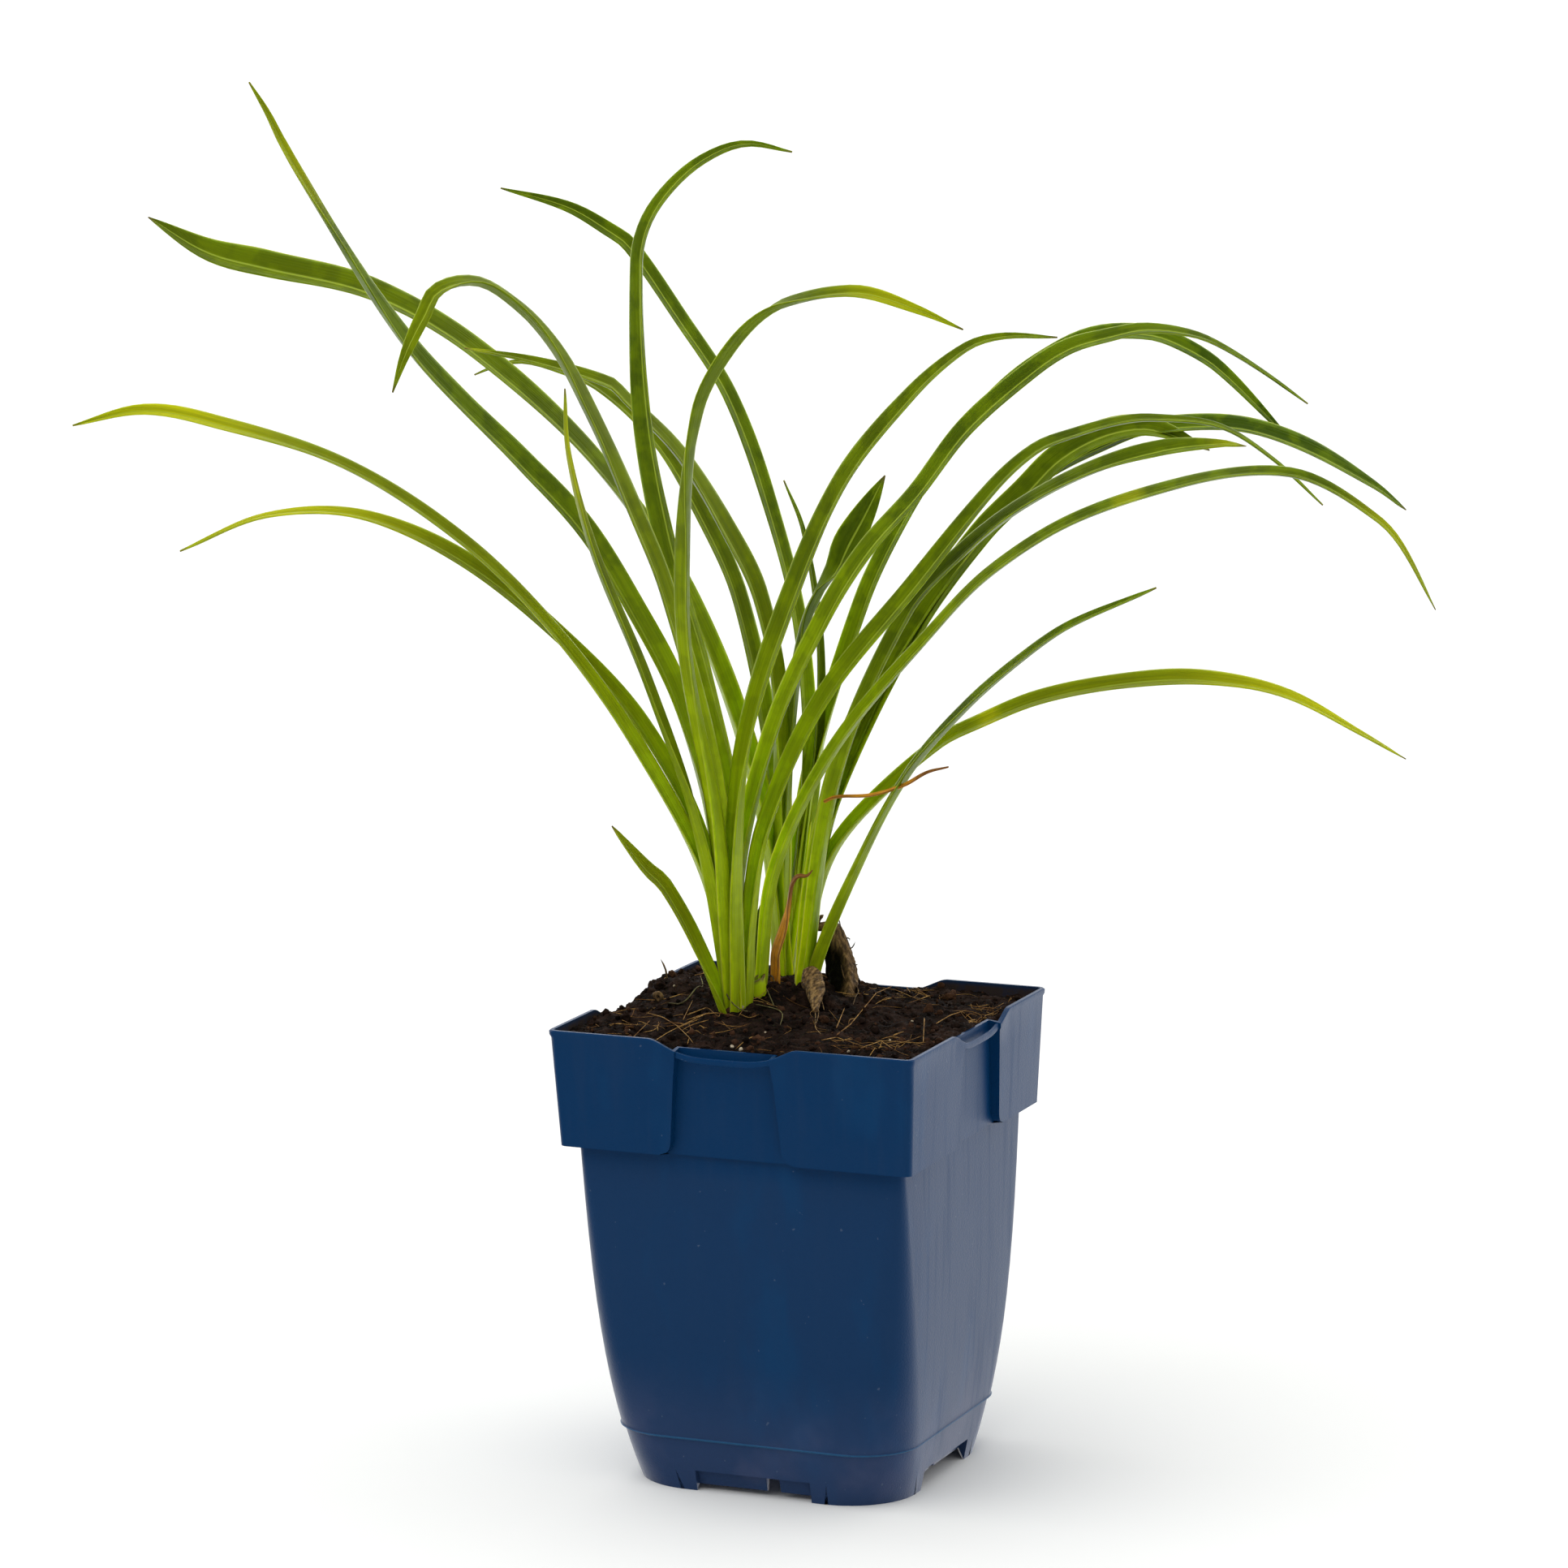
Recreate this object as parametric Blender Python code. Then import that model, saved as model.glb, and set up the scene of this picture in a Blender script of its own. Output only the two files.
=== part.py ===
"""Potted stella de oro daylily: four fans of keeled strap leaves, rooted in dark
potting soil in a square blue nursery pot.

Metres, +Z up. The origin is the middle of the pot's footprint on the floor, X runs
along the front side to the right, Y runs away from it. The leaves' routes are in
millimetres: across, up from the rim and toward the viewer, for a viewer who stands
round to the right of the front side by VIEW_HEADING.
"""

import math
from collections import namedtuple

import bmesh
import bpy
from mathutils import Matrix, Vector, geometry, noise

MM = 0.001
GAP = 0.0003
MERGE = 1e-6

# Pot, overall
POT_HEIGHT = 0.160
WALL = 0.0012
CORNER_SEGMENTS = 4
SHARPEST_CORNER = 0.0008

# Pot, collar with four corner lobes and a set-back panel on each side
COLLAR_HEIGHT = 0.0402
COLLAR_TOP_HALF = 0.0657
COLLAR_FOOT_HALF = 0.0636
COLLAR_CORNER = 0.0030
PANEL_TOP_HALF = 0.0170
PANEL_FOOT_HALF = 0.0205
PANEL_TOP_STEP = 0.0040
PANEL_FOOT_STEP = 0.0030
PANEL_SHIFT = 0.0022
PANEL_DROP = 0.0030

# Pot, dip of the rim in front of each panel and the bead that follows it
RIM_DIP = 0.0053
RIM_DIP_HALF = 0.0270
BEAD_HEIGHT = 0.0021
BEAD_DEPTH = 0.0014
BEAD_OUTER_HALF = 0.0653
BEAD_SINK = 0.0001
BEAD_SEGMENTS = 8

# Pot, body that narrows and rounds off toward the foot
BODY_TOP_HALF = 0.0590
BODY_TAPER = 0.0088
BODY_TAPER_POWER = 4.3
BODY_TOP_CORNER = 0.0040
BODY_FOOT_CORNER = 0.0240
BODY_LEVELS = (0.014, 0.023, 0.036, 0.056, 0.086)

# Pot, lean of the soft plastic: how far the foot stands to the side of the rim
FOOT_SHIFT = Vector((0.0026, 0.0010, 0))

# Pot, foot with a notch on each side, a set-back strip in it and an open slot
NOTCH_HALF = 0.0210
NOTCH_HEIGHT = 0.0074
NOTCH_STEP = 0.0020
NOTCH_LIFT = 0.0008
SLOT_PLACE = 0.0065
SLOT_WIDTH = 0.0043
SLOT_DEPTH = 0.0120
SLOT_SINK = 0.0030
SLOT_TOP = 0.0073

# Pot, floor with drain holes
FLOOR_BASE = 0.0078
FLOOR_THICKNESS = 0.0014
FLOOR_BITE = 0.0005
DRAIN_RADIUS = 0.0045
DRAIN_SPACING = 0.0240
DRAIN_SIDES = 14
DRAIN_REACH = 0.0100

# Soil
SOIL_MARGIN = 1.8 * MM
SOIL_CORNER = 13 * MM
SOIL_RINGS = (1.0, 0.91, 0.82, 0.72, 0.62, 0.52, 0.42, 0.33, 0.24, 0.13)
SOIL_LEVEL = -2.6 * MM
SOIL_MOUND = 5.0 * MM
SOIL_MOUND_PLACE = (-8, 0, -24)
SOIL_MOUND_SPREAD = 26 * MM
SOIL_LEFT_RISE = 3.0 * MM
SOIL_LEFT_PLACE = (-47 * MM, 8 * MM)
SOIL_LEFT_SPREAD = 17 * MM
SOIL_BACK_FALL = 5.5 * MM
SOIL_BACK_PLACE = (52 * MM, 50 * MM)
SOIL_BACK_SPREAD = 20 * MM
SOIL_CLUMP = 1.7 * MM
SOIL_CLUMP_SIZE = 11 * MM
SOIL_CLUMP_ROUGHNESS = 0.8
SOIL_CLUMP_SCALES = 3

# Leaves
VIEW_HEADING = math.radians(21.84)
BLADE_THICKNESS = 0.8 * MM
STATION_LENGTH = 27 * MM
BEND_LENGTH = 40 * MM
CURVE_STEPS = 13
LEANS_FROM = 0.55
FEWEST_STATIONS = 8
FOLD_BASE = math.radians(64)
FOLD_TIP = math.radians(30)
FOLD_OPENS_BY = 0.45
BASE_WIDTH_SHARE = 0.60
FULL_WIDTH_BY = 0.28
TIP_WIDTH = 1.4 * MM
TAPER_POWER = 1.8
DEPTH_POWER = 1.3
CROWN_BOTTOM = -16 * MM
CROWN_TOP = 4 * MM
ROOTED_AT = -7
CROWN_SIDES = 14
CROWN_HOLE_TOP = 12 * MM

Leaf = namedtuple("Leaf", "name width roll base_toward tip_toward taper_from route")
Fan = namedtuple("Fan", "name place across_radius toward_radius leaves")

LEFT_FAN = Fan("fan_left", (-22.0, 1.0), 7.0, 6.4, (
    Leaf("far_left", 11.5, 24, 2, 45, 0.35,
         ((-23, 2), (-32, 47), (-56, 95), (-83, 135), (-113, 165), (-154, 191), (-199, 209), (-241, 206))),
    Leaf("low_left", 11.0, 26, 0, 15, 0.40,
         ((-24, 2), (-33, 58), (-53, 100), (-82, 131), (-113, 158), (-148, 172), (-180, 172), (-209, 160))),
    Leaf("tallest", 14.5, 40, -2, 10, 0.35,
         ((-22, 1), (-29, 66), (-48, 125), (-75, 166), (-117, 208), (-141, 240), (-159, 271), (-184, 317))),
    Leaf("upright_hook", 13.5, 34, -4, -14, 0.50,
         ((-21, 1), (-23, 68), (-33, 116), (-46, 159), (-54, 202), (-56, 254), (-45, 280), (-19, 295),
          (-3, 292))),
    Leaf("left_hook", 13.5, 30, 2, 45, 0.45,
         ((-21, 2), (-29, 81), (-45, 147), (-63, 194), (-80, 230), (-107, 253), (-125, 242), (-134, 217))),
    Leaf("narrow_left", 10.5, 28, 4, 42, 0.40,
         ((-23, 3), (-34, 62), (-51, 115), (-69, 162), (-77, 195), (-78, 218))),
    Leaf("right_hook", 12.0, 28, 3, 105, 0.40,
         ((-22, 2), (-29, 68), (-39, 129), (-39, 175), (-33, 214), (-12, 245), (19, 255), (52, 244))),
    Leaf("front_right", 12.5, 28, 4, 60, 0.35,
         ((-21, 3), (-22, 74), (-10, 130), (12, 185), (36, 217), (54, 233), (84, 237))),
    Leaf("high_right", 12.0, 26, -4, -38, 0.45,
         ((-20, 1), (-20, 64), (-1, 116), (22, 157), (56, 198), (91, 227), (118, 232), (143, 225),
          (174, 204))),
    Leaf("middle_right", 11.5, 26, -2, -30, 0.35,
         ((-19, 1), (-14, 62), (6, 105), (38, 145), (75, 186), (93, 196), (120, 201), (151, 194),
          (179, 170))),
    Leaf("short_outer", 8.5, 40, 4, 14, 0.50,
         ((-26, 1), (-36, 24), (-46, 45), (-63, 66))),
))

MIDDLE_FAN = Fan("fan_middle", (-14.5, -12.0), 6.2, 4.8, (
    Leaf("low_right", 11.0, 26, -14, 34, 0.35,
         ((-13, 5), (-8, 47), (12, 91), (46, 133), (92, 169), (140, 186), (171, 186), (200, 163),
          (212, 143))),
))

RIGHT_FAN = Fan("fan_right", (2.5, -33.5), 6.4, 6.4, (
    Leaf("far_right", 12.0, 24, -36, -56, 0.40,
         ((2, 3), (14, 80), (43, 131), (84, 178), (119, 194), (149, 196), (185, 183), (210, 165))),
    Leaf("broad_right", 14.0, 44, -34, -46, 0.60,
         ((2, 3), (15, 74), (42, 126), (77, 174), (102, 193), (126, 194), (141, 187))),
    Leaf("yellow_tipped_right", 12.5, 30, -30, -8, 0.45,
         ((1, 4), (13, 78), (36, 135), (71, 171), (108, 188), (142, 194), (151, 192))),
    Leaf("slim_right", 9.5, 24, -30, 45, 0.35,
         ((4, 5), (22, 51), (42, 90), (77, 127), (118, 152))),
    Leaf("yellowing_right", 11.0, 34, -38, -10, 0.50,
         ((4, 2), (18, 58), (49, 87), (82, 104), (124, 112), (166, 107), (207, 85))),
))

BACK_FAN = Fan("fan_back", (-5.5, -55.5), 6.6, 6.6, (
    Leaf("broad_left", 15.0, 52, -52, -22, 0.78,
         ((-6, 3), (-13, 63), (-38, 136), (-70, 185), (-113, 222), (-147, 242), (-182, 250), (-221, 267))),
    Leaf("high_back", 10.5, 26, -54, -112, 0.35,
         ((-5, 2), (3, 75), (0, 122), (-18, 185), (-42, 228), (-67, 258), (-82, 266), (-106, 272))),
    Leaf("inner_left", 13.0, 30, -54, -22, 0.45,
         ((-7, 2), (-6, 100), (-13, 138), (-41, 188), (-65, 213), (-89, 221), (-114, 226))),
    Leaf("inner_left_rear", 12.5, 26, -56, -75, 0.45,
         ((-7, 2), (-9, 72), (-23, 133), (-51, 187), (-70, 206), (-98, 215), (-114, 210))),
    Leaf("rear_right", 12.0, 24, -58, -70, 0.40,
         ((-5, 1), (3, 72), (24, 131), (51, 180), (85, 214), (120, 225), (145, 213), (173, 185))),
    Leaf("short_broad", 12.5, 46, -56, -40, 0.60,
         ((-6, 2), (-5, 80), (2, 128), (18, 158), (29, 178))),
    Leaf("short_thin", 7.0, 30, -60, -58, 0.40,
         ((-4, 1), (6, 75), (7, 118), (1, 157), (-6, 175))),
))

# Cut-back sheath of the middle fan: stations of across, up, toward and radius
SHEATH = ((-15, -6, -12, 3.6), (-15, 3, -11, 3.7), (-16, 6, -10, 2.4))
SHEATH_FLATNESS = 0.66
SHEATH_SIDES = 8

# Dried pieces and old roots: stations of across, up, toward and radius
DRIED_WISP = ((7, 67, -26, 0.9), (12, 70, -20, 0.9), (24, 72, -8, 0.8), (35, 77, 4, 0.9),
              (43, 83, 9, 0.9), (50, 86, 12, 0.5))
DRIED_LEAF = ((-9, -8, -20, 1.3), (-9, 5, -20, 1.5), (-8, 18, -20, 1.4), (-4, 31, -20, 1.1),
              (-2, 39, -19, 0.7), (1, 41, -18, 0.8), (5, 42, -17, 0.5))
LARGE_OLD_ROOT = ((9, 22, -44, 2.6), (12, 19, -44, 3.7), (16, 13, -43, 3.8), (19, 6, -42, 3.4),
                  (21, -1, -41, 2.6), (21, -9, -40, 1.6))
SMALL_OLD_ROOT = ((4, 10, -23, 2.6), (4, 7, -19, 3.5), (5, 5, -13, 3.0), (6, 1, -6, 2.3),
                  (6, -5, 0, 1.2))
ROOT_SIDES = 8
DRIED_SIDES = 6

# Colours, linear: red, green, blue
POT_BLUE = (0.010, 0.033, 0.090)
SOIL_BROWN = (0.022, 0.014, 0.010)
LEAF_GREEN = (0.130, 0.210, 0.012)
DRIED_BROWN = (0.330, 0.130, 0.030)
ROOT_BROWN = (0.150, 0.090, 0.050)


def clear_scene():
    """Removes every object of the open scene."""
    for item in list(bpy.data.objects):
        bpy.data.objects.remove(item, do_unlink=True)


def make_material(name, colour, roughness, metallic=0.0):
    """A plain Principled material of one colour."""
    material = bpy.data.materials.new(name)
    material.use_nodes = True
    shader = material.node_tree.nodes["Principled BSDF"]
    shader.inputs["Base Color"].default_value = (*colour, 1.0)
    shader.inputs["Roughness"].default_value = roughness
    shader.inputs["Metallic"].default_value = metallic
    return material


def make_object(name, bm, material=None):
    """Turns a bmesh into an object of the scene."""
    mesh = bpy.data.meshes.new(name)
    bm.to_mesh(mesh)
    bm.free()
    if material:
        mesh.materials.append(material)
    item = bpy.data.objects.new(name, mesh)
    bpy.context.scene.collection.objects.link(item)
    return item


def boolean(target, operation, tools):
    """Cuts or joins the target with the tools, then removes them."""
    group = bpy.data.collections.new(target.name + "_tools")
    bpy.context.scene.collection.children.link(group)
    for item in tools:
        group.objects.link(item)
    modifier = target.modifiers.new(operation.lower(), "BOOLEAN")
    modifier.operation = operation
    modifier.solver = "EXACT"
    modifier.operand_type = "COLLECTION"
    modifier.collection = group
    graph = bpy.context.evaluated_depsgraph_get()
    result = bpy.data.meshes.new_from_object(target.evaluated_get(graph))
    target.modifiers.clear()
    target.data = result
    for item in tools:
        bpy.data.objects.remove(item, do_unlink=True)
    bpy.data.collections.remove(group)


def connected_parts(bm):
    """The mesh's separate shells, as lists of faces."""
    parts = []
    seen = set()
    for start in bm.faces:
        if start in seen:
            continue
        seen.add(start)
        part = [start]
        for face in part:
            for edge in face.edges:
                fresh = [other for other in edge.link_faces if other not in seen]
                seen.update(fresh)
                part.extend(fresh)
        parts.append(part)
    return parts


def tidy_mesh(item):
    """Merges doubled points, fills sealed hollows and splits the faces into triangles."""
    bm = bmesh.new()
    bm.from_mesh(item.data)
    bmesh.ops.triangulate(bm, faces=bm.faces)
    bmesh.ops.remove_doubles(bm, verts=bm.verts, dist=MERGE)
    bmesh.ops.dissolve_degenerate(bm, edges=bm.edges, dist=MERGE)
    parts = connected_parts(bm)
    outer = max(parts, key=len)
    for part in parts:
        if part is not outer:
            bmesh.ops.delete(bm, geom=part, context="FACES")
    bmesh.ops.triangulate(bm, faces=bm.faces)
    bm.to_mesh(item.data)
    bm.free()


def in_view(across, up, toward):
    """A place of the leaves' view in the pot's own axes; millimetres in, metres out."""
    right = Vector((math.cos(VIEW_HEADING), math.sin(VIEW_HEADING), 0))
    nearer = Vector((math.sin(VIEW_HEADING), -math.cos(VIEW_HEADING), 0))
    return (right * across + nearer * toward + Vector((0, 0, up))) * MM + Vector((0, 0, POT_HEIGHT))


# Pot

def loft(rings, closed_loop=False):
    """Joins rings of equal point counts; the ends are capped unless the rings form a loop."""
    bm = bmesh.new()
    rows = [[bm.verts.new(point) for point in ring] for ring in rings]
    pairs = list(zip(rows, rows[1:]))
    if closed_loop:
        pairs.append((rows[-1], rows[0]))
    for low, high in pairs:
        for k in range(len(low)):
            n = (k + 1) % len(low)
            bm.faces.new((low[k], low[n], high[n], high[k]))
    if not closed_loop:
        bm.faces.new(list(reversed(rows[0])))
        bm.faces.new(rows[-1])
    bmesh.ops.remove_doubles(bm, verts=bm.verts, dist=MERGE)
    bmesh.ops.dissolve_degenerate(bm, edges=bm.edges, dist=MERGE)
    bmesh.ops.triangulate(bm, faces=bm.faces)
    bmesh.ops.recalc_face_normals(bm, faces=bm.faces)
    return bm


def body_half(height):
    """Half the pot's width below its collar."""
    return BODY_TOP_HALF - BODY_TAPER * (1 - height / POT_HEIGHT) ** BODY_TAPER_POWER


def body_corner(height):
    """Corner radius below the collar, widest at the foot."""
    share = height / (POT_HEIGHT - COLLAR_HEIGHT)
    return BODY_FOOT_CORNER + (BODY_TOP_CORNER - BODY_FOOT_CORNER) * share


def lean(height):
    """Sideways place of the pot's axis at a height."""
    return FOOT_SHIFT * (1 - height / POT_HEIGHT)


def hand(side):
    """Neighbouring sides mirror each other: +1 on front and back, -1 on the others."""
    return 1 if side % 2 == 0 else -1


def rim_dip(along, side):
    """How far the rim lies below the pot's height at a place along a side."""
    share = min(abs(along + hand(side) * PANEL_SHIFT) / RIM_DIP_HALF, 1.0)
    return RIM_DIP * (1 - share ** 4) ** 2


def ring(level, half, corner, inset, edge_half, step, edge_shift=0.0, drop=None, spread=False):
    """A level section: rounded square with the middle of each side set back by step.

    drop, where given, turns a place along a side into the fall of that point, once for
    the corner lobes and once for the set-back middle. The points beside the step gather
    at its edges, unless they are to spread along the dip of the rim.
    """
    points = []
    radius = max(corner - inset, SHARPEST_CORNER)
    face = half - inset
    for side in range(4):
        turn = Matrix.Rotation(math.radians(90 * side), 3, "Z")
        shift = -hand(side) * edge_shift
        left = shift - edge_half - inset
        right = shift + edge_half + inset
        dip_half = RIM_DIP_HALF if spread else edge_half + inset
        slope_half = 0.5 * (dip_half + edge_half + inset)
        outline = []
        for k in range(CORNER_SEGMENTS + 1):
            angle = math.radians(180 + 90 * k / CORNER_SEGMENTS)
            centre = -(face - radius)
            outline.append((centre + radius * math.cos(angle), centre + radius * math.sin(angle), False))
        outline += [(shift - dip_half, -face, False), (shift - slope_half, -face, False)]
        outline += [(left, -face, False), (left, -face + step, True), (shift, -face + step, True),
                    (right, -face + step, True), (right, -face, False)]
        outline += [(shift + slope_half, -face, False), (shift + dip_half, -face, False)]
        for along, out, recessed in outline:
            fall = drop(along, side, recessed) if drop else 0.0
            points.append(turn @ Vector((along, out, level - fall)) + lean(level))
    return points


def rim_fall(along, side, recessed):
    """The rim's fall: the dip on the lobes, a straight lower edge on the panels."""
    return PANEL_DROP if recessed else rim_dip(along, side)


def foot_fall(along, side, recessed):
    """The foot's strips end a little above the floor that the corners stand on."""
    return -NOTCH_LIFT if recessed else 0.0


def body_ring(level, inset, step=0.0, drop=None):
    """A level section of the wall below the collar."""
    return ring(level, body_half(level), body_corner(level), inset, NOTCH_HALF, step, drop=drop)


def wall_rings(inset, ledge_lift, notch_lift, foot=True):
    """The pot's wall from foot to collar, as rings, set in from the outer face by inset."""
    ledge = POT_HEIGHT - COLLAR_HEIGHT + ledge_lift
    notch_top = NOTCH_HEIGHT + notch_lift
    rings = []
    if foot:
        rings.append(body_ring(0, inset, NOTCH_STEP, foot_fall))
        rings.append(body_ring(notch_top, inset, NOTCH_STEP))
        rings.append(body_ring(notch_top, inset))
    else:
        rings.append(body_ring(FLOOR_BASE + FLOOR_THICKNESS + GAP, inset))
    rings += [body_ring(level, inset) for level in BODY_LEVELS]
    rings.append(ring(ledge, BODY_TOP_HALF, BODY_TOP_CORNER, inset, PANEL_FOOT_HALF, 0, PANEL_SHIFT))
    rings.append(ring(ledge, COLLAR_FOOT_HALF, COLLAR_CORNER, inset, PANEL_FOOT_HALF, PANEL_FOOT_STEP,
                      PANEL_SHIFT, spread=True))
    return rings


def rim_ring(inset):
    """The top edge of the pot's wall."""
    return ring(POT_HEIGHT, COLLAR_TOP_HALF, COLLAR_CORNER, inset, PANEL_TOP_HALF, PANEL_TOP_STEP,
                PANEL_SHIFT, drop=rim_fall, spread=True)


def make_bead(side):
    """Rim bead that bridges two lobes in front of a panel and follows the dip."""
    shift = -hand(side) * PANEL_SHIFT
    reach = PANEL_TOP_HALF + 0.5 * WALL
    turn = Matrix.Rotation(math.radians(90 * side), 3, "Z")
    sections = []
    for k in range(BEAD_SEGMENTS + 1):
        along = shift - reach + 2 * reach * k / BEAD_SEGMENTS
        top = POT_HEIGHT - rim_dip(along, side) - BEAD_SINK
        outer = -BEAD_OUTER_HALF
        inner = -BEAD_OUTER_HALF + BEAD_DEPTH
        corners = ((outer, top - BEAD_HEIGHT), (outer, top), (inner, top), (inner, top - BEAD_HEIGHT))
        sections.append([turn @ Vector((along, out, height)) for out, height in corners])
    return make_object("bead", loft(sections))


def make_slot_cutter(side):
    """Block that opens the slot in the foot's strip."""
    bm = bmesh.new()
    bmesh.ops.create_cube(bm, size=1.0)
    bmesh.ops.scale(bm, vec=(SLOT_WIDTH, SLOT_DEPTH, 2 * SLOT_TOP), verts=bm.verts)
    place = Vector((hand(side) * SLOT_PLACE, -body_half(0) + SLOT_SINK, 0))
    bmesh.ops.translate(bm, vec=place, verts=bm.verts)
    bmesh.ops.rotate(bm, matrix=Matrix.Rotation(math.radians(90 * side), 3, "Z"), verts=bm.verts)
    bmesh.ops.translate(bm, vec=lean(0), verts=bm.verts)
    return make_object("slot_cutter", bm)


def make_drain_cutter(x, y):
    """Upright cylinder that opens one drain hole in the floor."""
    bm = bmesh.new()
    bmesh.ops.create_cone(bm, cap_ends=True, segments=DRAIN_SIDES, radius1=DRAIN_RADIUS, radius2=DRAIN_RADIUS,
                          depth=DRAIN_REACH)
    bmesh.ops.translate(bm, vec=Vector((x, y, FLOOR_BASE)) + lean(FLOOR_BASE), verts=bm.verts)
    return make_object("drain_cutter", bm)


def make_pot(material):
    """The moulded pot: wall, floor, rim beads, foot slots and drain holes."""
    outer = wall_rings(0.0, 0.0, 0.0) + [rim_ring(0.0)]
    inner = wall_rings(WALL, WALL, WALL) + [rim_ring(WALL)]
    pot = make_object("pot", loft(outer + list(reversed(inner)), closed_loop=True), material)
    plate = [body_ring(level, WALL - FLOOR_BITE) for level in (FLOOR_BASE, FLOOR_BASE + FLOOR_THICKNESS)]
    additions = [make_object("floor_plate", loft(plate))] + [make_bead(side) for side in range(4)]
    boolean(pot, "UNION", additions)
    places = [(0, 0)] + [(x * DRAIN_SPACING, y * DRAIN_SPACING) for x in (-1, 1) for y in (-1, 1)]
    cutters = [make_slot_cutter(side) for side in range(4)] + [make_drain_cutter(x, y) for x, y in places]
    boolean(pot, "DIFFERENCE", cutters)
    tidy_mesh(pot)
    return pot


# Leaves

def smooth_route(knots):
    """A smooth curve through the knots, as a line of points."""
    points = [knots[0]]
    tangents = []
    for k, knot in enumerate(knots):
        before = knots[max(k - 1, 0)]
        after = knots[min(k + 1, len(knots) - 1)]
        tangents.append((after - before).normalized())
    for k in range(len(knots) - 1):
        reach = (knots[k + 1] - knots[k]).length / 3
        first = knots[k] + tangents[k] * reach
        last = knots[k + 1] - tangents[k + 1] * reach
        points += geometry.interpolate_bezier(knots[k], first, last, knots[k + 1], CURVE_STEPS)[1:]
    return points


def bend_lengths(points):
    """Length of a line of points up to each of them, with a share added for every bend."""
    lengths = [0.0]
    for k in range(1, len(points)):
        step = points[k] - points[k - 1]
        bend = step.angle(points[k - 1] - points[k - 2]) if k > 1 else 0.0
        lengths.append(lengths[-1] + step.length + BEND_LENGTH * bend)
    return lengths


def resample(points):
    """A line of fewer points, set closer together where it bends."""
    lengths = bend_lengths(points)
    count = max(FEWEST_STATIONS, round(lengths[-1] / STATION_LENGTH))
    result = []
    k = 0
    for step in range(count + 1):
        target = lengths[-1] * step / count
        while k < len(points) - 2 and lengths[k + 1] < target:
            k += 1
        share = (target - lengths[k]) / (lengths[k + 1] - lengths[k])
        result.append(points[k].lerp(points[k + 1], min(max(share, 0), 1)))
    return result


def length_shares(points):
    """Each point's share of the line's whole length."""
    lengths = [0.0]
    for first, last in zip(points, points[1:]):
        lengths.append(lengths[-1] + (last - first).length)
    return [length / lengths[-1] for length in lengths]


def leaf_knots(leaf, fan):
    """The leaf's route in the pot's axes, from its root in the crown to its tip."""
    flat = [Vector(point) for point in leaf.route]
    knots = []
    for point, share in zip(flat, length_shares(flat)):
        toward = leaf.base_toward + (leaf.tip_toward - leaf.base_toward) * share ** DEPTH_POWER
        knots.append(in_view(point.x, point.y, toward))
    root = in_view(0.5 * (flat[0].x + fan.place[0]), ROOTED_AT, 0.5 * (leaf.base_toward + fan.place[1]))
    return [root] + knots


def ease(share):
    """Smooth rise from 0 to 1."""
    share = min(max(share, 0.0), 1.0)
    return share * share * (3 - 2 * share)


def half_width(leaf, share):
    """Half the blade's flat width at a share of its length."""
    full = 0.5 * leaf.width * MM
    rise = BASE_WIDTH_SHARE + (1 - BASE_WIDTH_SHARE) * ease(share / FULL_WIDTH_BY)
    past = max(share - leaf.taper_from, 0) / (1 - leaf.taper_from)
    tip = 0.5 * TIP_WIDTH
    return tip + (full * rise - tip) * (1 - past ** TAPER_POWER)


def blade_frames(points, roll):
    """Side and face directions at each point, keel down, face rolled toward the viewer."""
    count = len(points)
    heading = points[-1] - points[int(LEANS_FROM * (count - 1))]
    heading.z = 0
    side = heading.normalized().cross(Vector((0, 0, 1)))
    viewer = Vector((math.sin(VIEW_HEADING), -math.cos(VIEW_HEADING), 0))
    away = -1 if side.dot(viewer) > 0 else 1
    frames = []
    for k, point in enumerate(points):
        along = (points[min(k + 1, count - 1)] - points[max(k - 1, 0)]).normalized()
        level = (side - along * side.dot(along)).normalized()
        face = level.cross(along)
        outward = level * away
        turn = math.radians(roll)
        frames.append((outward * math.cos(turn) + face * math.sin(turn),
                       face * math.cos(turn) - outward * math.sin(turn)))
    return frames


def make_blade(leaf, fan):
    """One keeled leaf: a strip folded along its midrib, bent onto its route and thickened."""
    points = resample(smooth_route(leaf_knots(leaf, fan)))
    count = len(points) - 1
    shares = length_shares(points)
    frames = blade_frames(points, leaf.roll)
    bm = bmesh.new()
    bmesh.ops.create_grid(bm, x_segments=2, y_segments=count, size=1.0)
    bmesh.ops.triangulate(bm, faces=bm.faces, quad_method="FIXED")
    for vert in bm.verts:
        across = round(vert.co.x)
        station = round((vert.co.y + 1) / 2 * count)
        share = shares[station]
        side, face = frames[station]
        fold = FOLD_BASE + (FOLD_TIP - FOLD_BASE) * ease(share / FOLD_OPENS_BY)
        half = half_width(leaf, share)
        lift = (abs(across) - 0.5) * math.sin(fold)
        vert.co = points[station] + half * (side * across * math.cos(fold) + face * lift)
    bmesh.ops.recalc_face_normals(bm, faces=bm.faces)
    bmesh.ops.solidify(bm, geom=bm.faces[:], thickness=BLADE_THICKNESS)
    bmesh.ops.triangulate(bm, faces=bm.faces)
    bmesh.ops.recalc_face_normals(bm, faces=bm.faces)
    return make_object(leaf.name, bm)


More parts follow.
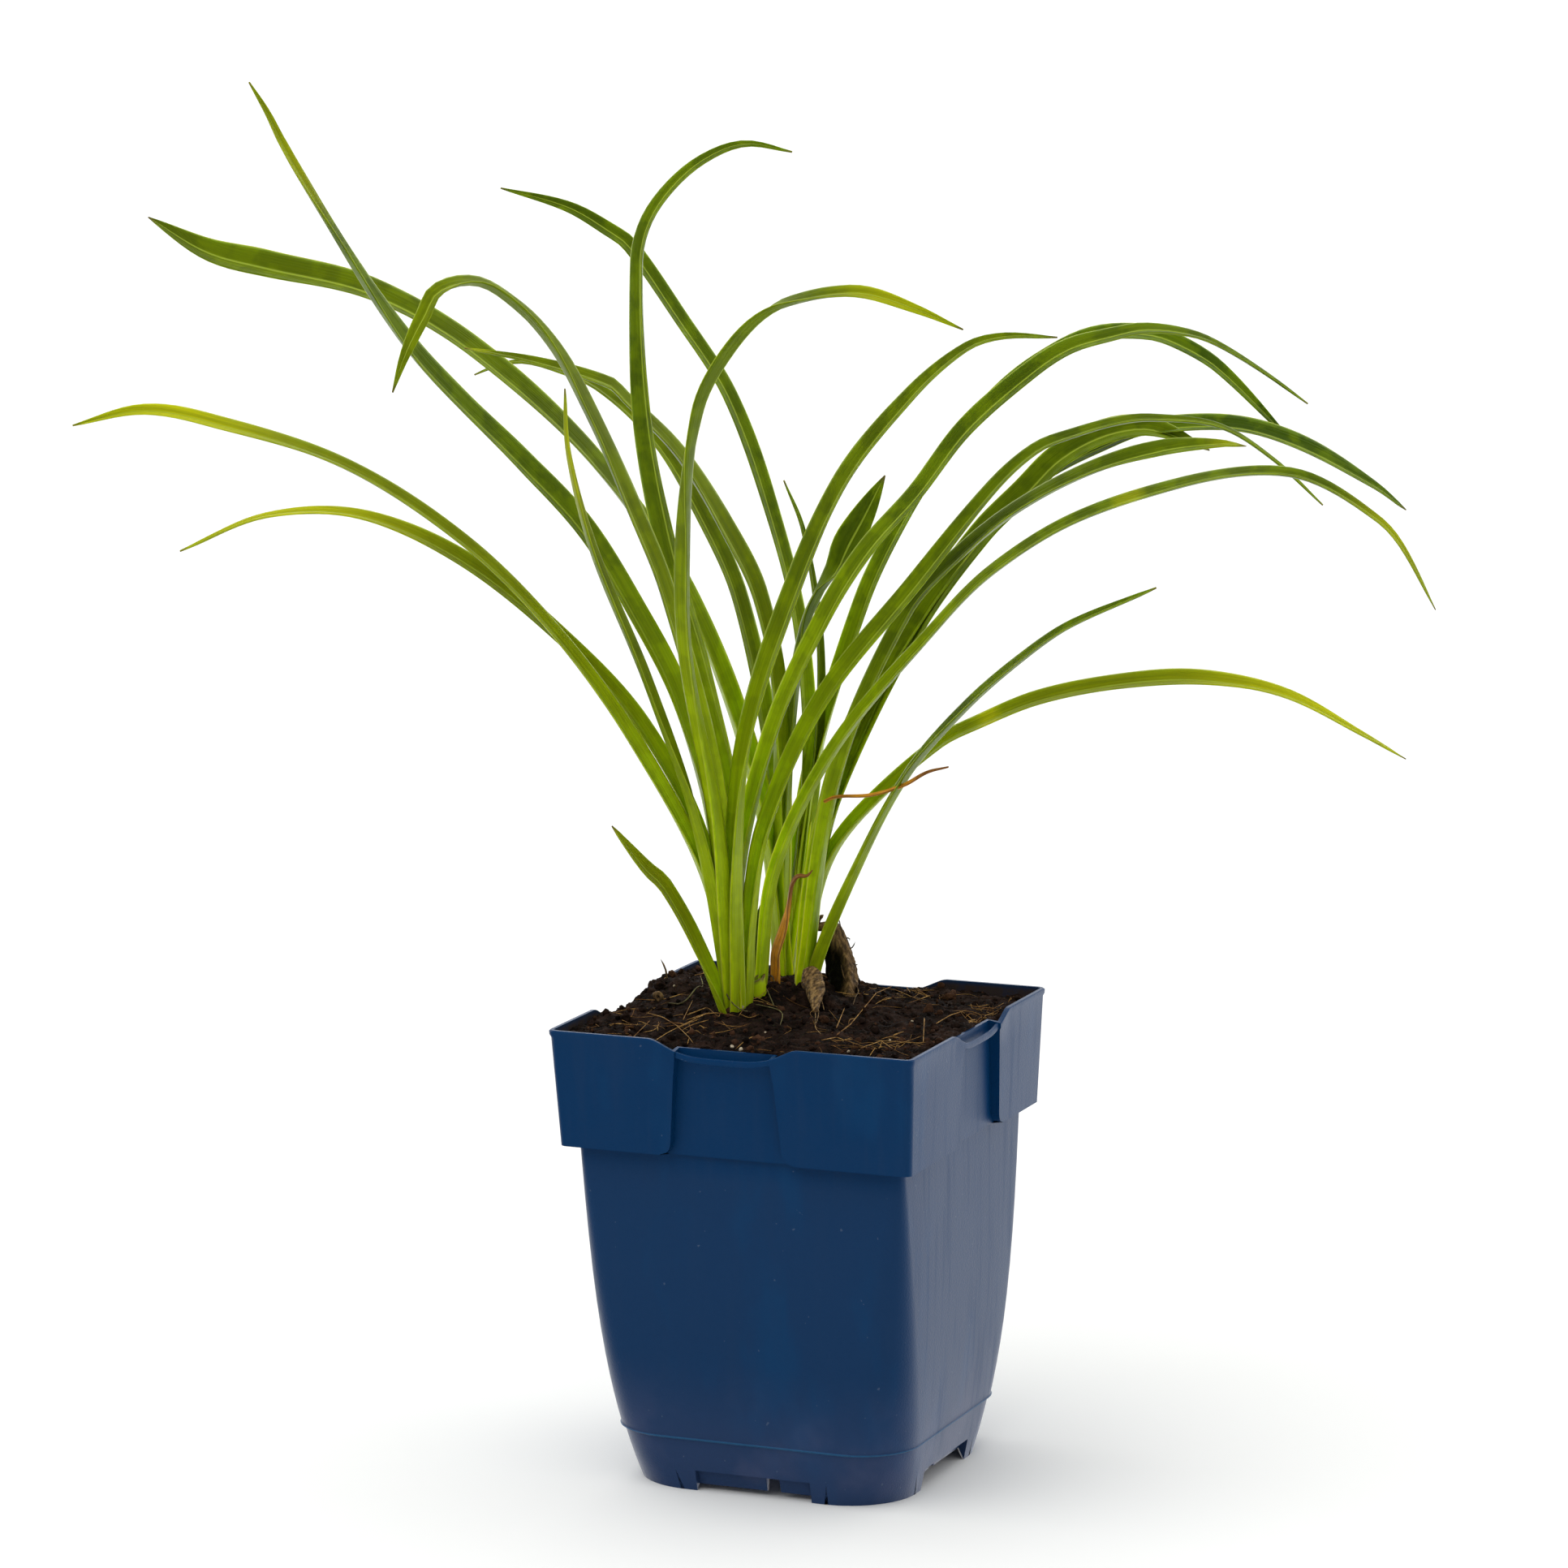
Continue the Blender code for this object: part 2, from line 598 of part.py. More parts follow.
def upright_plug(name, place, across_radius, toward_radius, bottom, top):
    """Upright oval prism whose long axis lies across the view."""
    bm = bmesh.new()
    bmesh.ops.create_cone(bm, cap_ends=True, segments=CROWN_SIDES, radius1=1, radius2=1, depth=top - bottom)
    bmesh.ops.scale(bm, vec=(across_radius, toward_radius, 1), verts=bm.verts)
    bmesh.ops.rotate(bm, matrix=Matrix.Rotation(VIEW_HEADING, 3, "Z"), verts=bm.verts)
    centre = in_view(place[0], 0, place[1]) + Vector((0, 0, 0.5 * (top + bottom)))
    bmesh.ops.translate(bm, vec=centre, verts=bm.verts)
    return make_object(name, bm)


def make_crown(fan):
    """The fan's crown: a short oval body that stands in the soil and carries the leaves."""
    return upright_plug(fan.name, fan.place, fan.across_radius * MM, fan.toward_radius * MM,
                        CROWN_BOTTOM, CROWN_TOP)


def make_crown_hole(fan):
    """Cutter for the hole in the soil that the crown stands in."""
    return upright_plug("crown_hole", fan.place, fan.across_radius * MM + GAP, fan.toward_radius * MM + GAP,
                        CROWN_BOTTOM - GAP, CROWN_HOLE_TOP)


def make_fan(fan, material, extras=()):
    """A fan of leaves fused with its crown."""
    body = make_crown(fan)
    body.data.materials.append(material)
    boolean(body, "UNION", [make_blade(leaf, fan) for leaf in fan.leaves] + list(extras))
    tidy_mesh(body)
    return body


# Roots and dried pieces

def make_tapered(name, stations, sides, grow=0.0, flatness=1.0, material=None):
    """Bent tapering tube through stations of across, up, toward and radius, made flat toward the viewer."""
    centres = [in_view(*station[:3]) for station in stations]
    centres[0] += (centres[0] - centres[1]).normalized() * grow
    centres[-1] += (centres[-1] - centres[-2]).normalized() * grow
    sections = []
    for k, centre in enumerate(centres):
        along = (centres[min(k + 1, len(centres) - 1)] - centres[max(k - 1, 0)]).normalized()
        side = along.cross(Vector((math.sin(VIEW_HEADING), -math.cos(VIEW_HEADING), 0))).normalized()
        other = along.cross(side)
        radius = stations[k][3] * MM + grow
        section = []
        for n in range(sides):
            angle = 2 * math.pi * n / sides
            section.append(centre + radius * (side * math.cos(angle) + other * flatness * math.sin(angle)))
        sections.append(section)
    return make_object(name, loft(sections), material)


# Soil

def bump(x, y, place, spread):
    """Soft round rise of height 1."""
    return math.exp(-((x - place[0]) ** 2 + (y - place[1]) ** 2) / (2 * spread ** 2))


def soil_height(x, y):
    """Height of the soil's surface over the floor."""
    height = POT_HEIGHT + SOIL_LEVEL
    height += SOIL_MOUND * bump(x, y, in_view(*SOIL_MOUND_PLACE), SOIL_MOUND_SPREAD)
    height += SOIL_LEFT_RISE * bump(x, y, SOIL_LEFT_PLACE, SOIL_LEFT_SPREAD)
    height -= SOIL_BACK_FALL * bump(x, y, SOIL_BACK_PLACE, SOIL_BACK_SPREAD)
    clump = noise.fractal(Vector((x, y, 0)) / SOIL_CLUMP_SIZE, SOIL_CLUMP_ROUGHNESS, 2, SOIL_CLUMP_SCALES)
    return height + SOIL_CLUMP * clump


def soil_wall(level):
    """The soil's outline in the collar at a level, a gap inside the pot's wall."""
    inset = WALL + GAP
    share = (level - POT_HEIGHT + COLLAR_HEIGHT) / COLLAR_HEIGHT
    half = COLLAR_FOOT_HALF + (COLLAR_TOP_HALF - COLLAR_FOOT_HALF) * share
    edge_half = PANEL_FOOT_HALF + (PANEL_TOP_HALF - PANEL_FOOT_HALF) * share
    step = PANEL_FOOT_STEP + (PANEL_TOP_STEP - PANEL_FOOT_STEP) * share
    return ring(level, half, COLLAR_CORNER, inset, edge_half, step, PANEL_SHIFT, spread=True)


def make_soil(material):
    """The potting soil: the pot's inside up to an uneven top, with holes for what stands in it."""
    inset = WALL + GAP
    rings = wall_rings(inset, inset, 0.0, foot=False)
    brim = soil_wall(POT_HEIGHT + SOIL_LEVEL)
    rings.append([Vector((point.x, point.y, soil_height(point.x, point.y))) for point in brim])
    square = ring(POT_HEIGHT, COLLAR_TOP_HALF - PANEL_TOP_STEP, SOIL_CORNER, inset + SOIL_MARGIN,
                  PANEL_TOP_HALF, 0, PANEL_SHIFT, spread=True)
    for share in SOIL_RINGS:
        places = [(point.x * share, point.y * share) for point in square]
        rings.append([Vector((x, y, soil_height(x, y))) for x, y in places])
    soil = make_object("soil", loft(rings), material)
    holes = [make_crown_hole(fan) for fan in (LEFT_FAN, MIDDLE_FAN, RIGHT_FAN, BACK_FAN)]
    holes.append(make_tapered("leaf_hole", DRIED_LEAF, DRIED_SIDES, grow=GAP))
    holes.append(make_tapered("large_root_hole", LARGE_OLD_ROOT, ROOT_SIDES, grow=GAP))
    holes.append(make_tapered("small_root_hole", SMALL_OLD_ROOT, ROOT_SIDES, grow=GAP))
    boolean(soil, "DIFFERENCE", holes)
    tidy_mesh(soil)
    return soil


def main():
    clear_scene()
    blue = make_material("pot_plastic", POT_BLUE, 0.38)
    brown = make_material("soil", SOIL_BROWN, 0.95)
    green = make_material("leaf", LEAF_GREEN, 0.42)
    dried = make_material("dried_leaf", DRIED_BROWN, 0.70)
    bark = make_material("old_root", ROOT_BROWN, 0.90)
    make_pot(blue)
    make_soil(brown)
    make_fan(LEFT_FAN, green)
    make_fan(MIDDLE_FAN, green, [make_tapered("sheath", SHEATH, SHEATH_SIDES, flatness=SHEATH_FLATNESS)])
    make_fan(RIGHT_FAN, green, [make_tapered("wisp", DRIED_WISP, DRIED_SIDES)])
    make_fan(BACK_FAN, green)
    tidy_mesh(make_tapered("dried_leaf", DRIED_LEAF, DRIED_SIDES, material=dried))
    tidy_mesh(make_tapered("old_root_large", LARGE_OLD_ROOT, ROOT_SIDES, material=bark))
    tidy_mesh(make_tapered("old_root_small", SMALL_OLD_ROOT, ROOT_SIDES, material=bark))


main()
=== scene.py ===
"""Potted daylily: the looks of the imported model. Fine leaves, soil and pot stand where its nodes are.

Metres, in the model's own frame. The leaves' routes are in millimetres: across, up from the
rim and toward the viewer, for a viewer who stands round to the right of the pot's front side.
"""

import math
import random
from collections import namedtuple

import bmesh
import bpy
from mathutils import Euler, Matrix, Vector, geometry, noise


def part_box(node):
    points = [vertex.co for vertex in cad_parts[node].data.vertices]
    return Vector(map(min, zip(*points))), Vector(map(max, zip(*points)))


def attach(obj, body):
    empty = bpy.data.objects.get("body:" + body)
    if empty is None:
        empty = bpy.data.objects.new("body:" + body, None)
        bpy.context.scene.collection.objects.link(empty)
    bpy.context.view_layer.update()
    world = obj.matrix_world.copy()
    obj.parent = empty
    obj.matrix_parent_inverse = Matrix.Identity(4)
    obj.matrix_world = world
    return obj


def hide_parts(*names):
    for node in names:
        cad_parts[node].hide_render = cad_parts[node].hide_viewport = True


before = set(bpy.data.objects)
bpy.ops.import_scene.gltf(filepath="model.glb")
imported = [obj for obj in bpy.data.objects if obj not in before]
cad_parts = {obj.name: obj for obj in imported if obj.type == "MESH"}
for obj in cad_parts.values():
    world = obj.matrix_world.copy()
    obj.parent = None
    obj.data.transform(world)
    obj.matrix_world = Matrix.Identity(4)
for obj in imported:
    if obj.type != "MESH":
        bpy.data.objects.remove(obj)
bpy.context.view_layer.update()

MM = 0.001
POT_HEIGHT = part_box("pot")[1].z
MERGE = 1e-6

# Camera, as solved from the pot's edges; the frame is square
FRAME_PIXELS = 1932
FOCAL_PIXELS = 8033
SENSOR_WIDTH = 36
VIEW_HEADING = math.radians(21.84)
CAMERA_RISE = math.radians(11.75)
CAMERA_DISTANCE = 2.237
CAMERA_PITCH = math.radians(9.78)
CAMERA_TURN = math.radians(0.15)

# Directions of the leaves' view in the pot's axes
RIGHT = Vector((math.cos(VIEW_HEADING), math.sin(VIEW_HEADING), 0))
NEARER = Vector((math.sin(VIEW_HEADING), -math.cos(VIEW_HEADING), 0))
UP = Vector((0, 0, 1))

# Stage: brightness of the surroundings for soft light and, apart from it, for reflections
FLOOR_REACH = 40.0
FLOOR_WHITE = (0.94, 0.945, 0.93)
SKY_FRONT = 0.47
SKY_BACK = 1.15
MIRRORED_FRONT = 0.0
MIRRORED_BACK = 1.90
SUN_STRENGTH = 1.45
SUN_SPREAD = math.radians(70)
SUN_TILT = math.radians(28)
SUN_HEADING = math.radians(-35)

# Pot, overall
WALL = 0.0012
CORNER_SEGMENTS = 12
SHARPEST_CORNER = 0.0008
POT_SHARP_ANGLE = math.radians(32)
POT_LAYERS = ("ridge", "inside")

# Pot, collar with four corner lobes and a set-back panel on each side
COLLAR_HEIGHT = 0.0402
COLLAR_TOP_HALF = 0.0657
COLLAR_FOOT_HALF = 0.0636
COLLAR_CORNER = 0.0030
PANEL_TOP_HALF = 0.0170
PANEL_FOOT_HALF = 0.0205
PANEL_TOP_STEP = 0.0040
PANEL_FOOT_STEP = 0.0030
PANEL_SHIFT = 0.0022
PANEL_DROP = 0.0030
LOBE_ROUNDING = 0.0040
LOBE_ROUNDING_STEPS = 4
LOBE_STEPS = 8
COLLAR_RISES = (0.010, 0.016, 0.022, 0.027)
LIP_HEIGHT = 0.0016
LIP_FOOT = 1.6 * LIP_HEIGHT
LIP_REACH = 0.0004

# Pot, edge lines of a panel as shares of half its width, on the front and back and on the other sides
PANEL_COLUMNS = ((-0.75, -0.5, 0.6, 0.8), (-0.8, -0.6, 0.5, 0.75))

# Pot, dip of the rim in front of each panel and the bead that follows it
RIM_DIP = 0.0053
RIM_DIP_HALF = 0.0270
BEAD_HEIGHT = 0.0021
BEAD_DEPTH = 0.0014
BEAD_OUTER_HALF = 0.0653
BEAD_SINK = 0.0001
BEAD_SEGMENTS = 30
BEAD_SIDES = 12

# Pot, body that narrows and rounds off toward the foot
BODY_TOP_HALF = 0.0590
BODY_TAPER = 0.0088
BODY_TAPER_POWER = 4.3
BODY_TOP_CORNER = 0.0040
BODY_FOOT_CORNER = 0.0240
BODY_LEVELS = (0.012, 0.016, 0.0184, 0.0188, 0.0192, 0.0196, 0.024, 0.030, 0.037, 0.045, 0.054, 0.064, 0.075,
               0.087, 0.100, 0.112)
SKIRT_TOP = 0.0190
SKIRT_STEP = 0.0006
SKIRT_RIDGE = 0.0004
# SKIRT_LINE is also the width of the painted highlight line on the ridge
SKIRT_LINE = 0.0004

# Pot, lean of the soft plastic: how far the foot stands to the side of the rim
FOOT_SHIFT = Vector((0.0026, 0.0010, 0))

# Pot, foot with a notch on each side, a set-back strip in it and an open slot
NOTCH_HALF = 0.0210
NOTCH_HEIGHT = 0.0074
NOTCH_STEP = 0.0020
NOTCH_LIFT = (0.0020, 0.0040)
SLOT_PLACE = 0.0065
SLOT_HALF = 0.0022
SLOT_TOP = 0.0072
SLOT_DRAFT = 0.0003

# Pot, floor with drain holes
FLOOR_BASE = 0.0078
FLOOR_THICKNESS = 0.0014
FLOOR_BITE = 0.0005
DRAIN_RADIUS = 0.0045
DRAIN_SPACING = 0.0240
DRAIN_SIDES = 24
FLOOR_DIRT = 0.3

# Soil: rough lumps on soft rises and hollows, which are across, toward, height and spread in millimetres
SOIL_CELLS = 190
SOIL_REACH = 64.7 * MM
SOIL_CORNER = 2.5 * MM
SOIL_LEVEL = -2.6 * MM
SOIL_BUMPS = ((-8, -24, 5.0, 26), (-40.6505, -24.9106, 2.0, 17), (66.8686, -27.0665, -1.2, 20), (-52, -48, 2.0, 11),
              (-38, -24, -3.5, 4.5), (4, -4, -3.5, 5), (20, 18, -2.5, 5), (34, 6, -2.0, 5), (15, -26, -3.5, 4),
              (-9, -16, 3.5, 4), (31, -51, -3.0, 8))
SOIL_CLUMP = 1.7 * MM
SOIL_CLUMP_SIZE = 11 * MM
SOIL_LUMP = 1.3 * MM
SOIL_LUMP_SIZE = 4.2 * MM
SOIL_CRUMB = 0.55 * MM
SOIL_CRUMB_SIZE = 1.7 * MM
SOIL_COLLAR_HALF = COLLAR_FOOT_HALF + 0.1 * MM
SOIL_COLLAR_CUT = 0.9
SOIL_STEP_BACK = PANEL_TOP_STEP - 0.1 * MM
SOIL_STEP_MARGIN = 2.6 * MM
SOIL_STEP_EASE = 0.8 * MM
SOIL_WALL_LEVELS = (0.135, 0.1195, 0.100, 0.080, 0.060, 0.040, 0.025, 0.0095)
CRUMB_COUNT = 1024
CRUMB_SIZES = (0.4 * MM, 1.7 * MM)
CRUMB_SHAPES = (0.6, 1.2)
CRUMB_ROUGHNESS = 0.35
CRUMB_SPREAD = 0.98
CRUMB_LIFT = 0.3
CLODS = ((-49, -31, 1.7), (-48, -36, 1.5), (-36, -72, 1.8), (-38, -68, 1.5), (-45, -53, 1.7), (-52, -24, 1.5),
         (-30, -40, 2.4), (-22, -30, 1.9), (8, 16, 2.0), (-7, 4, 1.8), (24, -12, 2.2), (44, -6, 2.0),
         (-60, 10, 1.9), (-45, 12, 1.6), (-14, 44, 1.9), (34, 46, 1.7), (52, -34, 2.2), (60, -22, 1.8))
CLOD_ROUGHNESS = 1.6 * CRUMB_ROUGHNESS
CLOD_SHAPES = (0.7, 1.1)
CLOD_LIFT = 0.4
GRAINS = ((-20, 4, 0.5), (-23, 51, 0.6), (-20, 55, 0.7), (-12, 34, 0.4), (30, 44, 0.4), (-44, -30, 0.4),
          (5, -52, 0.5), (38, 10, 0.4), (-58, 30, 0.4), (16, 60, 0.4))
GRAIN_SHAPES = (0.8, 1.3)
GRAIN_LIFT = 0.9

# Brown clump: a tapering coil round its middle, in millimetres and degrees
CLUMP_MIDDLE = (-49, 2.8, -5)
CLUMP_REACH = 1.43
CLUMP_RADIUS = 1.092
CLUMP_RADIUS_LOSS = 0.039
CLUMP_STATIONS = 15
CLUMP_START = 200
CLUMP_TURN = 40
CLUMP_SIDES = 16
CLUMP_SPACING = 0.5 * MM
CLUMP_COMES_NEARER = 0.03

# Straw and rootlets on the soil: radius and stations of across, lift and toward, in millimetres
FIBRE_SIDES = 5
STRAW = (
    (0.26, ((-53, 1, 3), (-47, 1, 15), (-42, 2, 26), (-38, 2, 42), (-36, 1, 50))),
    (0.24, ((-57, 1, 44), (-51, 2, 22))),
    (0.26, ((-53, 1, 38), (-50, 0, 44), (-45, 1, 33), (-38, 2, 23), (-31, 2, 10))),
    (0.22, ((-40, 2, 22), (-37, 3, -1))),
    (0.24, ((-39, 1, 11), (-32, 2, 3), (-28, 1, 10), (-26, 2, -4))),
    (0.20, ((-43, 1, 28), (-34, 2, 20))),
    (0.30, ((12, 1, 38), (17, 2, 18), (26, 3, -14), (32, 3, -37))),
    (0.20, ((32, 2, -37), (43, 1, -14))),
    (0.24, ((37, 2, -50), (38, 2, -27))),
    (0.22, ((35, 1, -33), (44, 2, -15))),
    (0.24, ((45, 2, -27), (37, 1, -14))),
    (0.26, ((45, 1, 19), (51, 2, 8), (57, 2, -1))),
    (0.30, ((12, 1, 32), (15, 3, 6))),
    (0.28, ((42, 3, 20), (41, 1, 53))),
    (0.24, ((7, 1, 53), (12, 2, 43), (22, 1, 61))),
    (0.40, ((31, 1, 35), (35, 1, 30))),
    (0.24, ((20, 1, 56), (27, 2, 47), (31, 1, 60))),
    (0.22, ((25, 1, 44), (36, 2, 52))),
)
ROOTLETS = (
    (0.30, ((-46, 1, -5), (-41, 1, -4), (-36, 2, -13), (-34, 2, -26), (-35, 2, -38))),
    (0.26, ((-16, 0, -1), (-7, 1, 8), (-7, 0, 23))),
    (0.28, ((-12, 1, -11), (-9, 1, 3))),
    (0.30, ((-12, 2, -24), (-10, 3, -20), (-9, 1, -15))),
)

# Rootlet and twig that stand off the soil: stations of across, up and toward
FAN_ROOTLET_RADIUS = 0.3
FAN_ROOTLET = ((-27, 12, 2), (-26, 8, 5), (-24, 4, 7), (-20, 1, 8), (-16, 0, 6))
TWIG_RADIUS = 0.5
TWIG = ((-47, -2, -46), (-47, 3, -46), (-48, 6, -46), (-49, 8, -46))

# Scattered fibres; every other one lies in a tuft, at a place of across and toward
FIBRE_COUNT = 170
FIBRE_LENGTHS = (6 * MM, 20 * MM)
FIBRE_RADII = (0.09 * MM, 0.20 * MM)
FIBRE_ROWS = 7
TUFT_PLACES = ((-62, 20), (64, -4), (70, -12), (26, 52), (38, -34), (20, 50), (-40, 22), (62, 6))
TUFT_SPREAD = 6 * MM
TUFT_LENGTH_SHARE = 0.6
FIBRE_BEND = 0.5
FIBRE_LIFT = 1.6 * MM
FIBRE_LIMIT = 0.91 * SOIL_REACH
FIBRE_SPREAD = 0.93
FIBRE_SPACING = 2 * MM
STRAW_THINNING = 0.8

# Leaves
BLADE_COLUMNS = 12
ROW_LENGTH = 3.5 * MM
DRY_ROW_LENGTH = 1.2 * MM
CURVE_STEPS = 16
LEANS_FROM = 0.55
MIDRIB_THICKNESS = 0.9 * MM
MARGIN_POWER = 5
KEEL_ROUNDING = 0.07
FOLD_BASE = math.radians(66)
FOLD_TIP = math.radians(27)
FOLD_OPENS_BY = 0.45
BASE_WIDTH_SHARE = 0.95
FULL_WIDTH_BY = 0.20
TIP_WIDTH = 0.6 * MM
TAPER_POWER = 1.8
DEPTH_POWER = 1.3
ROOTED_AT = -7
WAVE_SIZE = 45 * MM
WAVE_REACH = 0.35 * MM
WAVE_ROLL = math.radians(5)
WITHERED_LENGTH = 4 * MM
TIP_FADES_FROM = 0.88
CROWN_DEPTH = 8
CROWN_SIDES = 20
CROWN_RINGS = 12
LEAF_LAYERS = ("along", "across", "tone", "yellow", "under", "withered")

# A leaf's width is in millimetres, its rolls toward the viewer are in degrees from foot to tip, its depths
# say how far foot and tip stand toward the viewer, and its route goes across and up. The rest are shares.
Leaf = namedtuple("Leaf", "name width rolls depths taper_from tone yellow_tip route")
Fan = namedtuple("Fan", "name place across_radius toward_radius leaves")

LEFT_FAN = Fan("fan_left", (-23, 1), 5.2, 5.6, (
    Leaf("far_left", 9.0, (44, 44, 28, 22, 46), (2, 45), 0.82, 0.60, 0.25,
         ((-24, 2), (-32, 47), (-56, 95), (-84, 135), (-113, 165), (-153, 192), (-199, 208), (-219, 211),
          (-241, 206))),
    Leaf("low_left", 10.0, (36, 38, 36, 34, 36, 20, 8), (0, 15), 0.60, 0.55, 0.36,
         ((-24, 2), (-33, 58), (-54, 100), (-82, 131), (-114, 157), (-148, 172), (-180, 172), (-209, 160))),
    Leaf("tallest", 14.0, (34, 36, 36, 32, 24, 8, 48), (-2, 10), 0.66, 0.10, 0.17,
         ((-23, 1), (-29, 66), (-41, 109), (-57, 141), (-73, 167), (-94, 190), (-114, 210), (-131, 229),
          (-149, 255), (-173, 297), (-178, 307), (-184, 317))),
    Leaf("upright_hook", 13.0, (34, 34, 36, 20, 40), (-4, -14), 0.60, 0.10, 0.0,
         ((-22, 1), (-24, 68), (-34, 116), (-46, 159), (-54, 202), (-56, 254), (-53, 268), (-45, 280),
          (-33, 290), (-19, 295), (-3, 292))),
    Leaf("left_hook", 13.0, (32, 35, 36, 38, 28, 4, 76), (2, 45), 0.76, 0.30, 0.0,
         ((-22, 2), (-29, 81), (-45, 147), (-56, 176), (-71, 211), (-81, 230), (-94, 245), (-107, 253),
          (-120, 251), (-125, 242), (-131, 229), (-135, 217))),
    Leaf("narrow_left", 10.5, (28, 28, 46, 42, 40), (4, 42), 0.65, 0.35, 0.25,
         ((-24, 3), (-34, 62), (-51, 115), (-69, 162), (-77, 195), (-78, 218))),
    Leaf("right_hook", 13.5, (30, 44, 52, 10, 60), (3, 105), 0.62, 0.25, 0.16,
         ((-23, 2), (-29, 68), (-39, 129), (-39, 175), (-34, 214), (-26, 231), (-13, 246), (3, 253),
          (19, 255), (37, 250), (52, 244))),
    Leaf("front_right", 13.5, (34, 38, 48, 42, 34), (4, 60), 0.55, 0.20, 0.0,
         ((-22, 3), (-23, 53), (-20, 93), (-10, 130), (12, 185), (36, 217), (54, 233), (66, 237), (84, 237))),
    Leaf("high_right", 11.5, (28, 22, 25, 30, 20), (-4, -38), 0.60, 0.10, 0.0,
         ((-21, 1), (-22, 45), (-10, 96), (8, 135), (22, 157), (39, 176), (56, 198), (78, 217), (91, 225),
          (106, 229), (118, 231), (133, 229), (143, 225), (159, 215), (174, 204))),
    Leaf("middle_right", 11.0, (30, 30, 27, 16, 10), (-2, -30), 0.42, 0.15, 0.0,
         ((-19, 1), (-18, 28), (-13, 62), (6, 105), (38, 145), (65, 178), (80, 191), (93, 196), (108, 200),
          (120, 201), (143, 198), (162, 186), (179, 170))),
    Leaf("short_outer", 9.5, (44, 44, 44, 44, 44), (4, 14), 0.65, 0.60, 0.05,
         ((-26, 1), (-35, 24), (-46, 45), (-52, 51), (-64, 66))),
))

MIDDLE_FAN = Fan("fan_middle", (-14, -12), 5.0, 4.2, (
    Leaf("low_right", 9.5, (36, 29, 20, 15, 26), (-14, 34), 0.66, 0.15, 0.16,
         ((-14, 5), (-9, 47), (12, 91), (46, 133), (64, 152), (91, 170), (126, 183), (152, 188), (171, 186),
          (193, 173), (201, 164), (212, 143))),
    Leaf("short_inner", 9.0, (44, 46, 48, 50, 50), (-18, -19), 0.62, 0.05, 0.0,
         ((-17, 3), (-15, 18), (-12, 36))),
))

RIGHT_FAN = Fan("fan_right", (2, -34), 5.2, 5.2, (
    Leaf("far_right", 12.0, (24, 24, 29, 25, 28), (-36, -56), 0.86, 0.0, 0.0,
         ((1, 3), (13, 80), (41, 132), (67, 164), (83, 179), (107, 191), (119, 195), (149, 196), (173, 189),
          (199, 174), (210, 165))),
    Leaf("broad_right", 13.5, (34, 34, 34, 37, 42), (-34, -46), 0.86, 0.15, 0.0,
         ((1, 3), (4, 38), (13, 74), (39, 127), (62, 159), (77, 174), (88, 185), (102, 193), (116, 196),
          (126, 194), (141, 187))),
    Leaf("yellow_tipped_right", 11.5, (32, 32, 30, 14, 34), (-30, -8), 0.86, 0.15, 0.06,
         ((1, 4), (12, 78), (36, 135), (53, 154), (72, 170), (97, 184), (121, 192), (142, 194), (151, 193))),
    Leaf("slim_right", 10.0, (26, 26, 28, 29, 40), (-30, 45), 0.55, 0.10, 0.0,
         ((5, 9), (17, 40), (36, 80), (56, 106), (77, 127), (91, 138), (118, 152))),
    Leaf("yellowing_right", 10.0, (30, 28, 27, 27, 31, 22, 14), (-38, -10), 0.68, 0.65, 0.35,
         ((2, 2), (4, 28), (11, 49), (25, 67), (48, 88), (61, 95), (82, 104), (109, 110), (138, 112),
          (166, 107), (193, 93), (207, 85))),
))

BACK_FAN = Fan("fan_back", (-6, -56), 5.4, 5.4, (
    Leaf("broad_left", 14.5, (38, 30, 22, 31, 46), (-52, -26), 0.89, 0.20, 0.0,
         ((-6, 3), (-13, 63), (-38, 136), (-71, 185), (-112, 224), (-146, 244), (-182, 253), (-202, 258),
          (-222, 269))),
    Leaf("high_back", 9.0, (28, 24, 19, 21, 64), (-54, -112), 0.76, 0.10, 0.0,
         ((-5, 2), (3, 75), (0, 122), (-11, 165), (-25, 202), (-42, 228), (-60, 253), (-67, 258), (-82, 266),
          (-106, 272))),
    Leaf("inner_left", 13.5, (30, 34, 36, 28, 34), (-54, -12), 0.56, 0.30, 0.04,
         ((-7, 2), (-7, 100), (-14, 138), (-24, 160), (-41, 188), (-60, 208), (-65, 213), (-89, 221),
          (-114, 226))),
    Leaf("inner_left_rear", 11.5, (26, 28, 27, 24, 20), (-56, -75), 0.48, 0.25, 0.0,
         ((-7, 2), (-9, 72), (-21, 133), (-36, 166), (-50, 188), (-70, 206), (-87, 213), (-98, 215),
          (-107, 213), (-114, 210))),
    Leaf("rear_right", 11.0, (28, 28, 30, 28, 54), (-58, -70), 0.74, 0.0, 0.0,
         ((-5, 1), (3, 72), (21, 132), (33, 158), (48, 182), (69, 205), (83, 216), (101, 225), (120, 226),
          (132, 222), (146, 213), (173, 185))),
    Leaf("short_broad", 12.5, (36, 34, 32, 30, 30, 24, 10, 78, 84), (-56, -40), 0.86, 0.10, 0.0,
         ((-6, 2), (-5, 80), (2, 128), (12, 148), (22, 166), (29, 179))),
    Leaf("short_thin", 7.5, (30, 30, 30, 30, 30), (-60, -58), 0.40, 0.10, 0.0,
         ((-4, 1), (6, 75), (7, 118), (1, 157), (-6, 175))),
))

# Yellow blotches: share of the leaf's length, half the blotch's length and its strength
BLOTCHES = {"low_right": (0.655, 0.014, 0.45), "yellowing_right": (0.46, 0.013, 1.0)}

